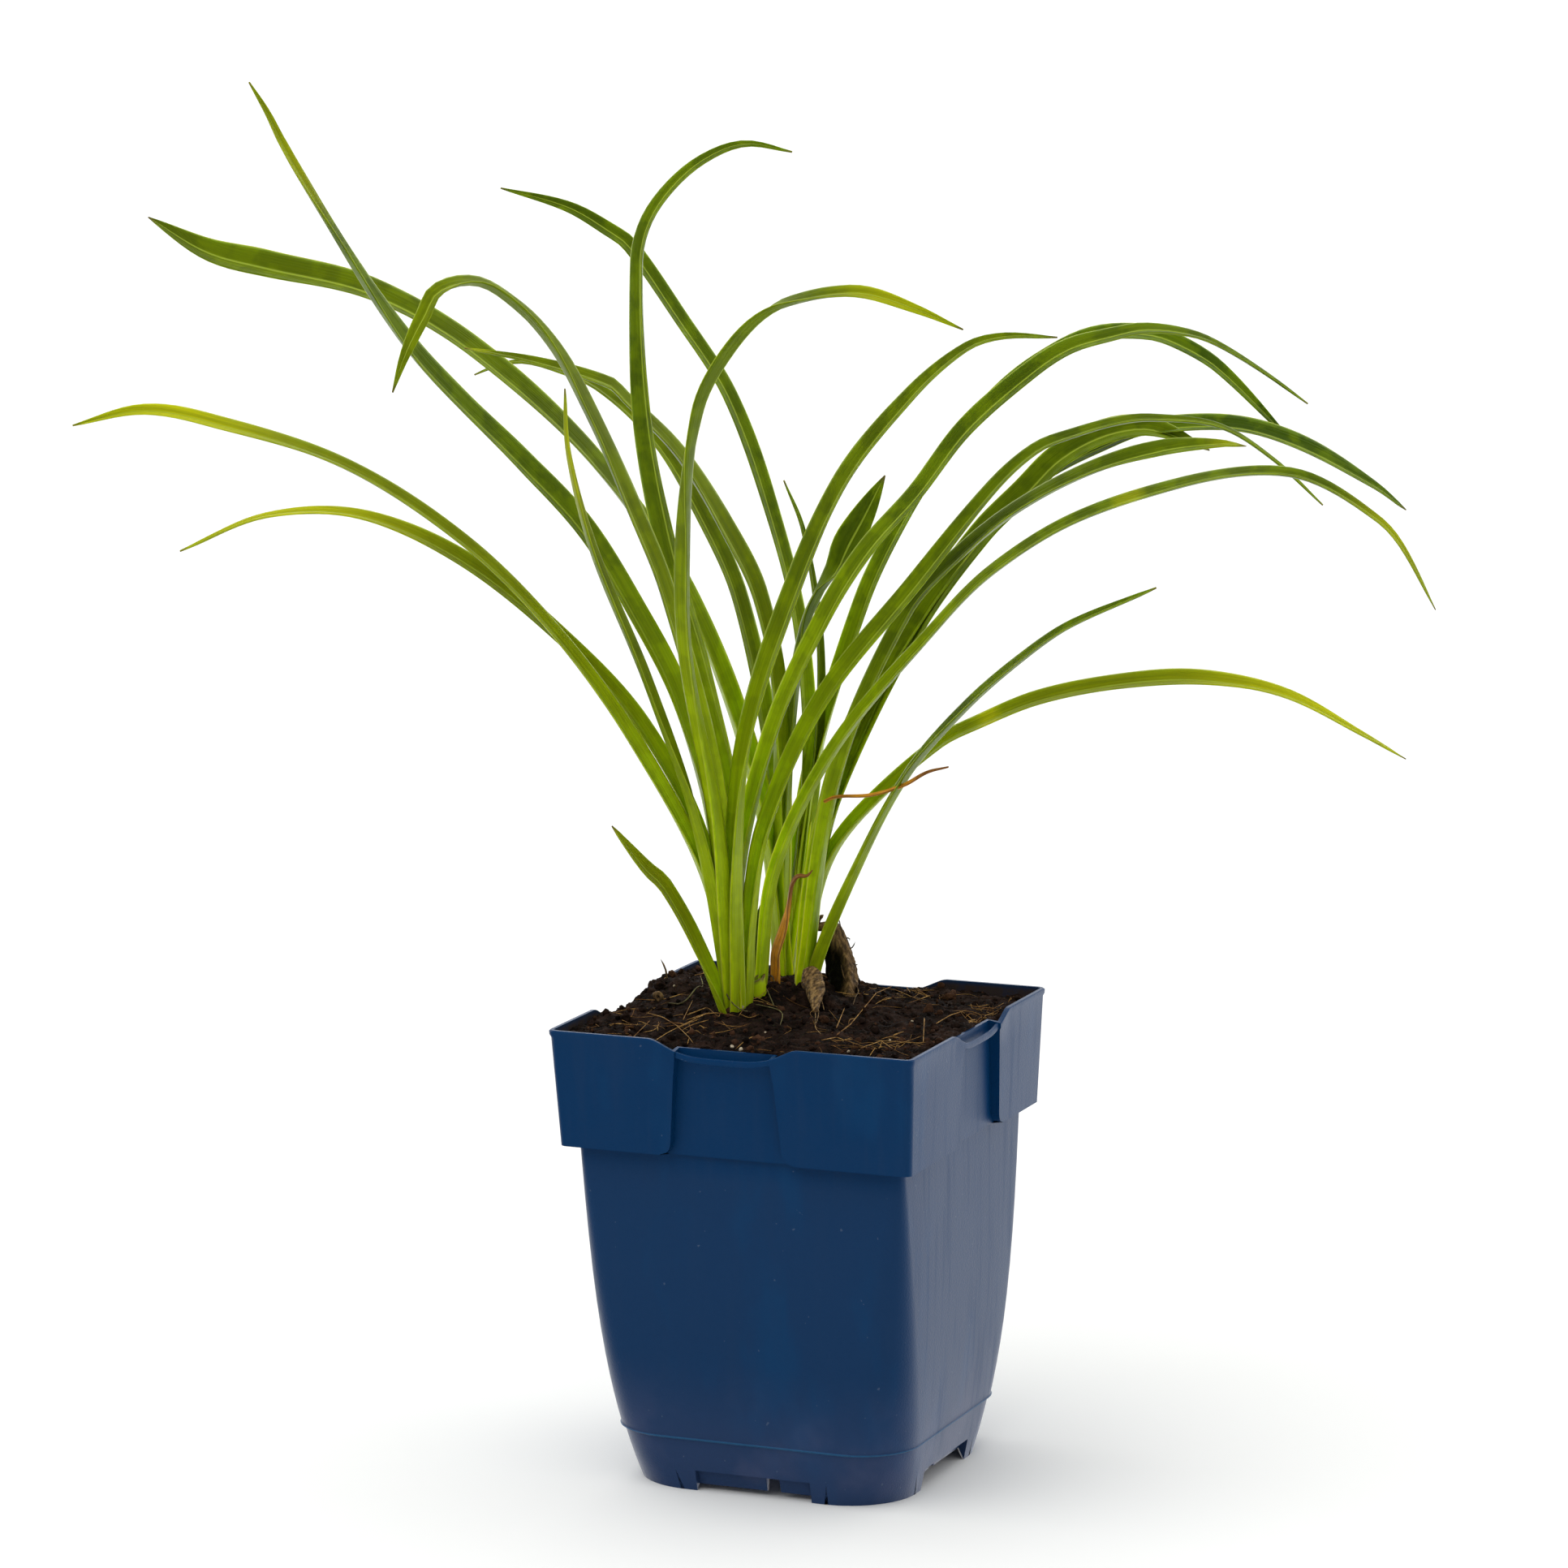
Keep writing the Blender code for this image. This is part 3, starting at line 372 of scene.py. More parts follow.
# Dried leaf and wisp: narrow folded strips
DRIED_LEAF = Leaf("dried_leaf", 6.6, (44, 44, 38, 12, 40), (-20, -17), 0.42, 0.0, 0.0,
                  ((-9, -6), (-9, 8), (-9, 15), (-7, 22), (-5, 29), (-4, 34), (-3, 40), (-1, 43), (2, 43),
                   (4, 45)))
DRIED_WISP = Leaf("dried_wisp", 1.8, (40, 40, 40, 70, 40), (-22, 12), 0.60, 0.0, 0.0,
                  ((8, 68), (12, 70), (24, 72), (35, 77), (43, 83), (50, 86)))

# Cut-back sheath and old roots: stations of across, up, toward and radius
SHEATH = ((-15, -7, -12, 4.2), (-16, 1, -11, 4.5), (-16, 8, -10, 3.8))
SHEATH_SIDES = 36
SHEATH_ROWS = 10
SHEATH_THICKNESS = 0.5 * MM
SHEATH_TEETH = 1.3
SHEATH_SLANT = 1.5
SHEATH_DRY_EDGE = 1.2
SHEATH_LOOK = (0.1, 0.5, 0.3, 0.0)
LARGE_OLD_ROOT = ((11, 22, -44, 1.2), (12, 18, -44, 3.2), (13, 12, -43, 4.4), (14, 6, -41, 5.3), (15, 1, -37, 5.0),
                  (16, -3, -33, 4.0), (17, -6, -28, 2.8), (18, -9, -23, 1.6))
SMALL_OLD_ROOT = ((5, 9, -26, 2.2), (4, 7, -24, 3.4), (4, 5, -20, 3.8), (5, 4, -15, 3.5), (5, 3, -10, 2.9),
                  (5, 2, -5, 2.2), (5, 1, 1, 1.5), (5, 0, 7, 0.8))
# Hollow of the large root: a dent that is also painted black as shade
HOLLOW_PLACE = (11.5, 4.5, -37)
HOLLOW_HALF_WIDTH = 4.2 * MM
HOLLOW_HALF_HEIGHT = 8.0 * MM
HOLLOW_DEPTH = 2.5 * MM
ROOT_STUB = ((12, 20, -45, 1.5), (9, 20, -45, 1.6), (6, 20, -45, 1.7), (6, 22, -45, 0.9), (8, 24, -45, 0.5))
ROOT_SIDES = 28
ROOT_ROW_LENGTH = 0.8 * MM
ROOT_WRINKLE = 0.15
ROOT_WRINKLE_SIZE = 2.2 * MM
ROOT_HAIRS = (
    ((11, 21, -42), (13, 23, -41), (14, 20, -41), (15, 17, -41)),
    ((16, 12, -42), (18, 13, -42), (19, 15, -42)),
    ((15, 16, -43), (17, 16, -43), (17, 15, -43)),
    ((18, 2, -37), (20, 0, -31), (19, 0, -20), (18, 0, -6)),
    ((18, 7, -41), (20, 7, -41)),
    ((14, 8, -36), (15, 4, -34), (17, 0, -32)),
    ((4, 3, -17), (4, 0, -10), (5, 0, 10), (5, 0, 32), (7, 0, 44)),
    ((6, 2, -14), (6, 0, -6), (6, 0, 12), (5, 0, 28)),
    ((5, 3, -15), (7, 1, -9), (8, 0, 4)),
)
ROOT_HAIR_RADIUS = 0.3
ROOT_HAIR_SPLIT = -30
SMALL_ROOT_SHADE = 0.3
TUBE_END_SHARE = 0.02
SHADED_SIDE = -RIGHT - 0.5 * UP

# Colours, linear: red, green, blue
# LEAF_DEEP and LEAF_MID are also the shaded and lit greens of the leaves' painted shade mottle
LEAF_DEEP = (0.058, 0.108, 0.0030)
LEAF_MID = (0.138, 0.215, 0.0020)
LEAF_BASE = (0.620, 0.790, 0.0060)
LEAF_YELLOWISH = (0.360, 0.390, 0.0030)
LEAF_YELLOW = (0.560, 0.560, 0.0050)
LEAF_MIDRIB = (0.420, 0.520, 0.050)
LEAF_MARGIN = (0.420, 0.480, 0.060)
LEAF_UNDER = (0.095, 0.160, 0.006)
LEAF_VEIN = (0.55, 0.60, 0.40)
LEAF_BROWN = (0.120, 0.070, 0.030)
LEAF_SHEEN = (0.75, 1.0, 0.35)
POT_BLUE = (0.0004, 0.032, 0.108)
POT_WORN = (0.0075, 0.037, 0.108)
POT_BRIGHT = (0.0008, 0.044, 0.136)
# Painted highlight: the pale line along the skirt ridge
POT_RIDGE_HIGHLIGHT = (0.020, 0.150, 0.300)
POT_DIRT = (0.044, 0.032, 0.032)
DUST = (0.16, 0.20, 0.26)
# Painted reflection of the pale floor on the pot's lower body, a grey-violet haze toward the foot
PAINTED_FLOOR_REFLECTION = (0.17, 0.16, 0.25)
SOIL_BLACK = (0.0050, 0.0032, 0.0026)
SOIL_BROWN = (0.040, 0.022, 0.016)
SOIL_RUST = (0.095, 0.043, 0.022)
STRAW_PALE = (0.62, 0.36, 0.11)
STRAW_BROWN = (0.20, 0.090, 0.025)
ROOTLET_PALE = (0.34, 0.30, 0.13)
ROOTLET_DARK = (0.12, 0.10, 0.045)
GRAIN_WHITE = (0.80, 0.70, 0.52)
GRAIN_SHADE = (0.45, 0.36, 0.24)
BARK_DARK = (0.055, 0.033, 0.016)
BARK_PALE = (0.340, 0.205, 0.085)
FIBROUS_PALE = (0.460, 0.280, 0.110)
FIBROUS_DARK = (0.070, 0.040, 0.017)
# Painted shade: black on the lower left of roots, straws, rootlets and the clump, and in the large root's hollow
PAINTED_SHADE_BLACK = (0.004, 0.003, 0.002)
DRIED_ORANGE = (0.980, 0.430, 0.030)
DRIED_DARK = (0.200, 0.075, 0.022)


# Shader nodes

def feed(tree, socket, value):
    """Sets an input to a value or links it to a socket."""
    if isinstance(value, bpy.types.NodeSocket):
        tree.links.new(value, socket)
    else:
        socket.default_value = value


def add_node(tree, kind, inputs=None, **settings):
    """Adds a shader node with its settings and inputs."""
    item = tree.nodes.new("ShaderNode" + kind)
    for name, value in settings.items():
        setattr(item, name, value)
    for name, value in (inputs or {}).items():
        feed(tree, item.inputs[name], value)
    return item


def mixed(tree, factor, first, second, blend_type="MIX"):
    """Colour between two others; each may be a colour or a socket."""
    first, second = (value if isinstance(value, bpy.types.NodeSocket) else (*value, 1)
                     for value in (first, second))
    item = add_node(tree, "Mix", {0: factor, 6: first, 7: second}, data_type="RGBA", blend_type=blend_type)
    return item.outputs[2]


def painted(tree, colour, *coats):
    """A colour under coats, each with its mask, strength, colour and, where it isn't plain, kind of blend."""
    for mask, strength, coat, *blend in coats:
        colour = mixed(tree, times(tree, mask, strength), colour, coat, *blend)
    return colour


def ramp(tree, value, start, end, low=0.0, high=1.0):
    """Smooth change from low to high while the value goes from start to end."""
    item = add_node(tree, "MapRange", {"Value": value, "From Min": start, "From Max": end,
                                       "To Min": low, "To Max": high}, interpolation_type="SMOOTHSTEP")
    return item.outputs["Result"]


def times(tree, first, second):
    """Product of two values."""
    return add_node(tree, "Math", {0: first, 1: second}, operation="MULTIPLY").outputs["Value"]


def attribute(tree, name):
    """Value that the mesh carries under a name."""
    return add_node(tree, "Attribute", attribute_name=name).outputs["Fac"]


def object_place(tree):
    """Place in the object's own axes."""
    return add_node(tree, "TexCoord").outputs["Object"]


def off_midrib(tree):
    """Distance from a blade's midrib, 1 at its margins."""
    return add_node(tree, "Math", {0: attribute(tree, "across")}, operation="ABSOLUTE").outputs["Value"]


def blade_place(tree):
    """Place on the blade laid flat, in metres."""
    return add_node(tree, "UVMap", uv_map="blade").outputs["UV"]


def make_patches_group():
    """Soft irregular patches of a given size, stretched along an axis where asked."""
    group = bpy.data.node_groups.new("patches", "ShaderNodeTree")
    for name in ("Vector", "Stretch", "Size", "Detail", "From", "To"):
        kind = "Vector" if name in ("Vector", "Stretch") else "Float"
        group.interface.new_socket(name=name, in_out="INPUT", socket_type="NodeSocket" + kind)
    group.interface.new_socket(name="Mask", in_out="OUTPUT", socket_type="NodeSocketFloat")
    given = group.nodes.new("NodeGroupInput").outputs
    scale = add_node(group, "Math", {0: 1, 1: given["Size"]}, operation="DIVIDE")
    placed = add_node(group, "Mapping", {"Vector": given["Vector"], "Scale": given["Stretch"]})
    texture = add_node(group, "TexNoise", {"Vector": placed.outputs["Vector"], "Scale": scale.outputs["Value"],
                                           "Detail": given["Detail"], "Roughness": 0.55})
    mask = ramp(group, texture.outputs["Fac"], given["From"], given["To"])
    result = group.nodes.new("NodeGroupOutput")
    group.links.new(mask, result.inputs["Mask"])
    return group


def patches(tree, vector, size, start=0.4, end=0.6, stretch=(1, 1, 1), detail=3):
    """Patches of a size in metres, as a mask that goes from 0 to 1 between two values of the noise."""
    item = add_node(tree, "Group", node_tree=PATCHES)
    for name, value in (("Vector", vector), ("Stretch", stretch), ("Size", size), ("Detail", detail),
                        ("From", start), ("To", end)):
        feed(tree, item.inputs[name], value)
    return item.outputs["Mask"]


def new_material(name, **shader_values):
    """Material with a Principled shader of the given values; returns it and its node tree."""
    material = bpy.data.materials.new(name)
    material.use_nodes = True
    for socket, value in shader_values.items():
        material.node_tree.nodes["Principled BSDF"].inputs[socket.replace("_", " ")].default_value = value
    return material, material.node_tree


def finish_material(material, colour, roughness, height, depth):
    """Links colour, roughness and a bump of a given depth to the shader."""
    tree = material.node_tree
    bump = add_node(tree, "Bump", {"Height": height, "Distance": depth, "Strength": 1}).outputs["Normal"]
    for name, source in (("Base Color", colour), ("Roughness", roughness), ("Normal", bump)):
        tree.links.new(source, tree.nodes["Principled BSDF"].inputs[name])
    return material


def make_leaf_material():
    """Living leaf: pale yellow-green foot, deeper blade under a painted mottle of shade, fine veins, pale midrib,
    yellow or brown tip.
    """
    material, tree = new_material("leaf", Subsurface_Weight=0.55, Subsurface_Scale=0.0014,
                                  Subsurface_Radius=(0.8, 1.0, 0.1), Specular_IOR_Level=0.22,
                                  Specular_Tint=(*LEAF_SHEEN, 1))
    place, blade, across = object_place(tree), blade_place(tree), off_midrib(tree)
    # Painted shade: a soft mottle of shaded and lit green for the shade that other leaves cast through the blade;
    # the pale foot follows it too
    shade_mottle = patches(tree, place, 0.010, 0.42, 0.60)
    shades = patches(tree, place, 0.045, 0.40, 0.62)
    streaks = patches(tree, blade, 0.0016, 0.40, 0.70, stretch=(1, 0.03, 1))
    veins = patches(tree, blade, 0.00055, 0.35, 0.65, stretch=(1, 0.012, 1), detail=2)
    foot = times(tree, ramp(tree, attribute(tree, "along"), 0.60, 0.04), ramp(tree, shade_mottle, 0, 1, 0.80, 1.0))
    colour = painted(
        tree, LEAF_DEEP,
        (shade_mottle, 1, LEAF_MID),
        (shades, 0.35, LEAF_MID),
        (attribute(tree, "tone"), 1, LEAF_YELLOWISH),
        (foot, 1, LEAF_BASE),
        (attribute(tree, "yellow"), 1, LEAF_YELLOW),
        (attribute(tree, "under"), 0.35, LEAF_UNDER),
        (streaks, 0.25, LEAF_DEEP),
        (veins, 0.30, LEAF_VEIN, "MULTIPLY"),
        (ramp(tree, across, 0.090, 0.035), 0.75, LEAF_MIDRIB),
        (ramp(tree, across, 0.93, 1.0), 0.8, LEAF_MARGIN),
        (attribute(tree, "withered"), 1, LEAF_BROWN),
    )
    return finish_material(material, colour, ramp(tree, veins, 0, 1, 0.40, 0.52), veins, 0.00006)


def make_pot_material():
    """Blue moulded plastic, a little worn and dusty, with faint upright flow marks, soil inside, a painted
    reflection of the floor toward the foot and a painted highlight line along the skirt ridge.
    """
    material, tree = new_material("pot_plastic", Specular_IOR_Level=0.12)
    place = object_place(tree)
    height = add_node(tree, "SeparateXYZ", {"Vector": place}).outputs["Z"]
    flow = patches(tree, place, 0.004, 0.45, 0.75, stretch=(1, 1, 0.06))
    worn = patches(tree, place, 0.030, 0.40, 0.75)
    bright = patches(tree, place, 0.022, 0.50, 0.70, stretch=(1, 1, 0.35))
    specks = patches(tree, place, 0.0022, 0.765, 0.80, detail=1)
    grain = patches(tree, place, 0.0007, 0.30, 0.70, detail=2)
    dirt = patches(tree, place, 0.0035, 0.30, 0.55, detail=4)
    colour = painted(
        tree, POT_BLUE,
        (ramp(tree, height, 0.118, 0.110), 0.75, POT_WORN),
        (worn, 0.25, POT_WORN),
        (flow, 0.25, POT_WORN),
        (bright, 0.55, POT_BRIGHT),
        # Painted reflection of the floor, patchy, growing toward the foot
        (ramp(tree, height, 0.050, 0.008), ramp(tree, worn, 0, 1, 0.10, 0.22), PAINTED_FLOOR_REFLECTION),
        # Painted highlight along the skirt ridge, where the ridge layer is 1
        (attribute(tree, "ridge"), 0.5, POT_RIDGE_HIGHLIGHT),
        (specks, 0.22, DUST),
        (attribute(tree, "inside"), ramp(tree, dirt, 0, 1, 0.75, 1.0), POT_DIRT),
    )
    return finish_material(material, colour, ramp(tree, flow, 0, 1, 0.40, 0.46), grain, 0.00003)


def make_soil_material():
    """Potting soil: near black with brown and rusty crumbs."""
    material, tree = new_material("soil", Specular_IOR_Level=0.06)
    place = object_place(tree)
    crumbs = patches(tree, place, 0.0014, 0.45, 0.72)
    colour = painted(
        tree, SOIL_BLACK,
        (patches(tree, place, 0.007, 0.40, 0.72), 0.8, SOIL_BROWN),
        (crumbs, 0.6, SOIL_BROWN),
        (patches(tree, place, 0.0024, 0.58, 0.78), 0.55, SOIL_RUST),
        (ramp(tree, attribute(tree, "tint"), 0.3, 1), 0.7, SOIL_RUST),
    )
    return finish_material(material, colour, ramp(tree, crumbs, 0, 1, 0.85, 1.0), crumbs, 0.0006)


def make_fibre_material(name, pale, dark, size=0.009, stretch=(1, 1, 1)):
    """Dry plant matter: two tones in patches and a fine grain, black where the mesh says shaded."""
    material, tree = new_material(name, Specular_IOR_Level=0.15)
    place = object_place(tree)
    grain = patches(tree, place, 0.0009, 0.35, 0.65, stretch=stretch)
    colour = painted(
        tree, dark,
        (patches(tree, place, size, 0.35, 0.65, stretch=stretch), 1, pale),
        (grain, 0.5, dark),
        (attribute(tree, "shaded"), 1, PAINTED_SHADE_BLACK),
    )
    return finish_material(material, colour, ramp(tree, grain, 0, 1, 0.65, 0.85), grain, 0.0003)


def make_dried_leaf_material():
    """Dead leaf: bright orange along its middle, brown toward its margins and tip."""
    material, tree = new_material("dried_leaf", Specular_IOR_Level=0.2)
    streaks = patches(tree, blade_place(tree), 0.0006, 0.40, 0.65, stretch=(1, 0.05, 1))
    colour = painted(
        tree, DRIED_ORANGE,
        (streaks, 0.35, DRIED_DARK),
        (ramp(tree, off_midrib(tree), 0.70, 1.0), 0.7, DRIED_DARK),
        (ramp(tree, attribute(tree, "along"), 0.60, 0.80), 0.85, DRIED_DARK),
        (patches(tree, object_place(tree), 0.004, 0.45, 0.70), 0.25, DRIED_DARK),
    )
    return finish_material(material, colour, ramp(tree, streaks, 0, 1, 0.5, 0.7), streaks, 0.0002)


# Meshes

def add_object(name, data):
    """A new object in the scene."""
    item = bpy.data.objects.new(name, data)
    bpy.context.scene.collection.objects.link(item)
    return item


def add_mesh(name, bm, material):
    """Turns a bmesh into an object of one material."""
    mesh = bpy.data.meshes.new(name)
    bm.to_mesh(mesh)
    bm.free()
    mesh.materials.append(material)
    return add_object(name, mesh)


def make_piece(name, bm, material, slot, *nodes):
    """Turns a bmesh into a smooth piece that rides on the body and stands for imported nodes."""
    for face in bm.faces:
        face.smooth = True
    piece = add_mesh(name, bm, material)
    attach(piece, "root")
    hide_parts(*nodes)
    return piece


def in_view(across, up, toward):
    """A place of the leaves' view in the pot's own axes; millimetres in, metres out."""
    return (RIGHT * across + NEARER * toward + UP * up) * MM + UP * POT_HEIGHT


def all_in_view(stations):
    """Several places of the leaves' view, each the first three numbers of a station."""
    return [in_view(*station[:3]) for station in stations]


def blend(low, high, share):
    """Value at a share of the way from low to high."""
    return low + (high - low) * share


def ease(share):
    """Smooth rise from 0 to 1."""
    share = min(max(share, 0.0), 1.0)
    return share * share * (3 - 2 * share)


def heading_at(points, k):
    """Direction of a line of points at one of them."""
    return (points[min(k + 1, len(points) - 1)] - points[max(k - 1, 0)]).normalized()


def smooth_route(knots):
    """A smooth curve through the knots, as a line of points."""
    points = [knots[0]]
    tangents = [heading_at(knots, k) for k in range(len(knots))]
    for k in range(len(knots) - 1):
        reach = (knots[k + 1] - knots[k]).length / 3
        handles = knots[k] + tangents[k] * reach, knots[k + 1] - tangents[k + 1] * reach
        points += geometry.interpolate_bezier(knots[k], *handles, knots[k + 1], CURVE_STEPS)[1:]
    return points


def line_lengths(points):
    """Length of a line of points up to each of them."""
    lengths = [0.0]
    for first, last in zip(points, points[1:]):
        lengths.append(lengths[-1] + (last - first).length)
    return lengths


def resample(points, spacing):
    """The same line with evenly spaced points."""
    lengths = line_lengths(points)
    count = max(4, round(lengths[-1] / spacing))
    result = []
    k = 0
    for step in range(count + 1):
        target = lengths[-1] * step / count
        while k < len(points) - 2 and lengths[k + 1] < target:
            k += 1
        share = (target - lengths[k]) / (lengths[k + 1] - lengths[k])
        result.append(points[k].lerp(points[k + 1], min(max(share, 0), 1)))
    return result


def between(marks, values, mark):
    """Value at a mark, in straight steps between the given marks."""
    for k in range(len(marks) - 1):
        if mark <= marks[k + 1] or k == len(marks) - 2:
            share = (mark - marks[k]) / (marks[k + 1] - marks[k])
            return blend(values[k], values[k + 1], min(max(share, 0), 1))


def merge_into(bm, other):
    """Adds one bmesh to another of the same layers."""
    mesh = bpy.data.meshes.new("part")
    other.to_mesh(mesh)
    other.free()
    bm.from_mesh(mesh)
    bpy.data.meshes.remove(mesh)


def wrapped_grid(columns, rows, shape, layer_names=(), open_ends=False):
    """A grid bent round until its sides meet. shape gives place and layer values for a column and row."""
    bm = bmesh.new()
    bmesh.ops.create_grid(bm, x_segments=columns, y_segments=rows, size=1.0)
    layers = [bm.verts.layers.float.new(name) for name in layer_names]
    for vert in bm.verts:
        column = round((vert.co.x + 1) / 2 * columns)
        row = round((vert.co.y + 1) / 2 * rows)
        vert.co, values = shape(column, row)
        for layer, value in zip(layers, values):
            vert[layer] = value
    bmesh.ops.remove_doubles(bm, verts=bm.verts, dist=MERGE)
    bmesh.ops.dissolve_degenerate(bm, edges=bm.edges, dist=MERGE)
    if not open_ends:
        close_up(bm)
    return bm


def close_up(bm):
    """Fills a mesh's holes and turns its faces outward."""
    bmesh.ops.holes_fill(bm, edges=[edge for edge in bm.edges if edge.is_boundary], sides=0)
    bmesh.ops.recalc_face_normals(bm, faces=bm.faces)


def tube_along(points, radii, sides, wrinkle=0.0, wrinkle_size=1.0):
    """Round body along a line of points, with rounded ends; its lower left is marked as shaded."""
    lengths = line_lengths(points)

    def shape(column, row):
        point = points[row]
        along = heading_at(points, row)
        side = along.cross(NEARER + 0.01 * UP).normalized()
        angle = math.tau * (column % sides) / sides
        out = side * math.cos(angle) + along.cross(side) * math.sin(angle)
        end = min(min(lengths[row], lengths[-1] - lengths[row]) / max(radii[row], MERGE), 1)
        radius = radii[row] * math.sqrt(max(1 - (1 - end) ** 2, TUBE_END_SHARE))
        rough = noise.noise((point + out * radius) / wrinkle_size)
        furrow = noise.noise(Vector((3 * math.cos(angle), 3 * math.sin(angle), point.z / (2.5 * wrinkle_size))))
        place = point + out * radius * (1 + wrinkle * rough + 0.6 * wrinkle * furrow)
        return place, (ease((out.dot(SHADED_SIDE) - 0.10) / 0.5),)

    return wrapped_grid(sides, len(points) - 1, shape, ["shaded"])


def make_tube(stations, sides, spacing):
    """Bent and wrinkled body through stations of across, up, toward and radius."""
    knots = all_in_view(stations)
    points = resample(smooth_route(knots), spacing)
    marks = [length / line_lengths(knots)[-1] for length in line_lengths(knots)]
    values = [station[3] * MM for station in stations]
    lengths = line_lengths(points)
    radii = [between(marks, values, length / lengths[-1]) for length in lengths]
    return tube_along(points, radii, sides, ROOT_WRINKLE, ROOT_WRINKLE_SIZE)


# Leaves

def leaf_knots(leaf, root=None):
    """The leaf's route in the pot's axes, from its root to its tip."""
    flat = [Vector(point) for point in leaf.route]
    lengths = line_lengths(flat)
    knots = [root] if root else []
    for point, length in zip(flat, lengths):
        toward = blend(*leaf.depths, (length / lengths[-1]) ** DEPTH_POWER)
        knots.append(in_view(point.x, point.y, toward))
    return knots


def half_width(leaf, share):
    """Half the blade's flat width at a share of its length."""
    full = 0.5 * leaf.width * MM
    rise = blend(BASE_WIDTH_SHARE, 1, ease(share / FULL_WIDTH_BY))
    past = max(share - leaf.taper_from, 0) / (1 - leaf.taper_from)
    return blend(0.5 * TIP_WIDTH, full * rise, 1 - past ** TAPER_POWER)


def roll_at(leaf, share):
    """How far the face is rolled toward the viewer, eased between evenly spaced values."""
    place = share * (len(leaf.rolls) - 1)
    first = min(int(place), len(leaf.rolls) - 2)
    return math.radians(blend(leaf.rolls[first], leaf.rolls[first + 1], ease(place - first)))


def blade_frames(leaf, points, shares):
    """Point, side and face at each row: keel down, face rolled toward the viewer, seen strip on the route."""
    heading = points[-1] - points[int(LEANS_FROM * (len(points) - 1))]
    heading.z = 0
    side = heading.normalized().cross(UP)
    away = -1 if side.dot(NEARER) > 0 else 1
    frames = []
    for k, (point, share) in enumerate(zip(points, shares)):
        along = heading_at(points, k)
        level = (side - along * side.dot(along)).normalized()
        face = level.cross(along)
        outward = level * away
        turn = roll_at(leaf, share) + WAVE_ROLL * noise.noise(point / WAVE_SIZE)
        rolled = outward * math.cos(turn) + face * math.sin(turn)
        facing = face * math.cos(turn) - outward * math.sin(turn)
        seen = along.cross(NEARER).normalized()
        fold = fold_at(share)
        edges = [rolled * across * math.cos(fold) + facing * (abs(across) - 0.5) * math.sin(fold)
                 for across in (-1, 0, 1)]
        ends = [edge.dot(seen) * half_width(leaf, share) for edge in edges]
        frames.append((point - seen * 0.5 * (min(ends) + max(ends)), rolled, facing))
    return frames


def fold_at(share):
    """How sharply the blade is folded along its midrib."""
    return blend(FOLD_BASE, FOLD_TIP, ease(share / FOLD_OPENS_BY))


def yellow_at(leaf, share):
    """How yellow the blade is: toward its tip and in its blotch."""
    yellow = ease((share - 1 + leaf.yellow_tip) / max(0.6 * leaf.yellow_tip, 0.01))
    yellow *= (1 - 0.5 * ease((share - TIP_FADES_FROM) / (1 - TIP_FADES_FROM))) * min(1, 0.55 + leaf.tone)
    if leaf.name in BLOTCHES:
        middle, reach, strength = BLOTCHES[leaf.name]
        yellow = max(yellow, strength * ease(1.5 - abs(share - middle) / reach))
    return yellow


def make_blade(leaf, root=None, spacing=ROW_LENGTH):
    """One leaf: a closed strip, folded along its midrib and thin at its margins, bent onto its route."""
    points = resample(smooth_route(leaf_knots(leaf, root)), spacing)
    lengths = line_lengths(points)
    shares = [length / lengths[-1] for length in lengths]
    frames = blade_frames(leaf, points, shares)

    def shape(column, row):
        under = column > BLADE_COLUMNS
        across = -1 + 2 * column / BLADE_COLUMNS
        if under:
            across = 2 - across
        share = shares[row]
        centre, side, face = frames[row]
        half = half_width(leaf, share)
        fold = fold_at(share)
        keel = math.sqrt(across ** 2 + KEEL_ROUNDING ** 2) - 0.5
        wall = min(0.5 * MIDRIB_THICKNESS, 0.5 * half) * math.sqrt(max(1 - abs(across) ** MARGIN_POWER, 0))
        lift = half * keel * math.sin(fold) + (-wall if under else wall)
        wave = WAVE_REACH * noise.noise(points[row] / WAVE_SIZE + Vector((across, 7, 0)))
        place = centre + half * side * across * math.cos(fold) + face * (lift + wave)
        withered = ease((lengths[row] - lengths[-1] + WITHERED_LENGTH) / WITHERED_LENGTH)
        return place, (share, across, leaf.tone, yellow_at(leaf, share), float(under), withered, half * across,
                       lengths[row])

    bm = wrapped_grid(2 * BLADE_COLUMNS, len(points) - 1, shape, (*LEAF_LAYERS, "flat", "length"))
    layers = bm.verts.layers.float
    flat, length = layers["flat"], layers["length"]
    uv = bm.loops.layers.uv.new("blade")
    for face in bm.faces:
        for loop in face.loops:
            loop[uv].uv = (loop.vert[flat], loop.vert[length])
    for name in ("flat", "length"):
        layers.remove(layers[name])
    return bm


def make_crown(fan):
    """Short rounded crown among the leaves' feet."""
    bm = bmesh.new()
    bmesh.ops.create_uvsphere(bm, u_segments=CROWN_SIDES, v_segments=CROWN_RINGS, radius=1)
    bmesh.ops.scale(bm, vec=(fan.across_radius * MM, fan.toward_radius * MM, CROWN_DEPTH * MM), verts=bm.verts)
    bmesh.ops.rotate(bm, matrix=Matrix.Rotation(VIEW_HEADING, 3, "Z"), verts=bm.verts)
    bmesh.ops.translate(bm, vec=in_view(fan.place[0], -CROWN_DEPTH, fan.place[1]), verts=bm.verts)
    return bm


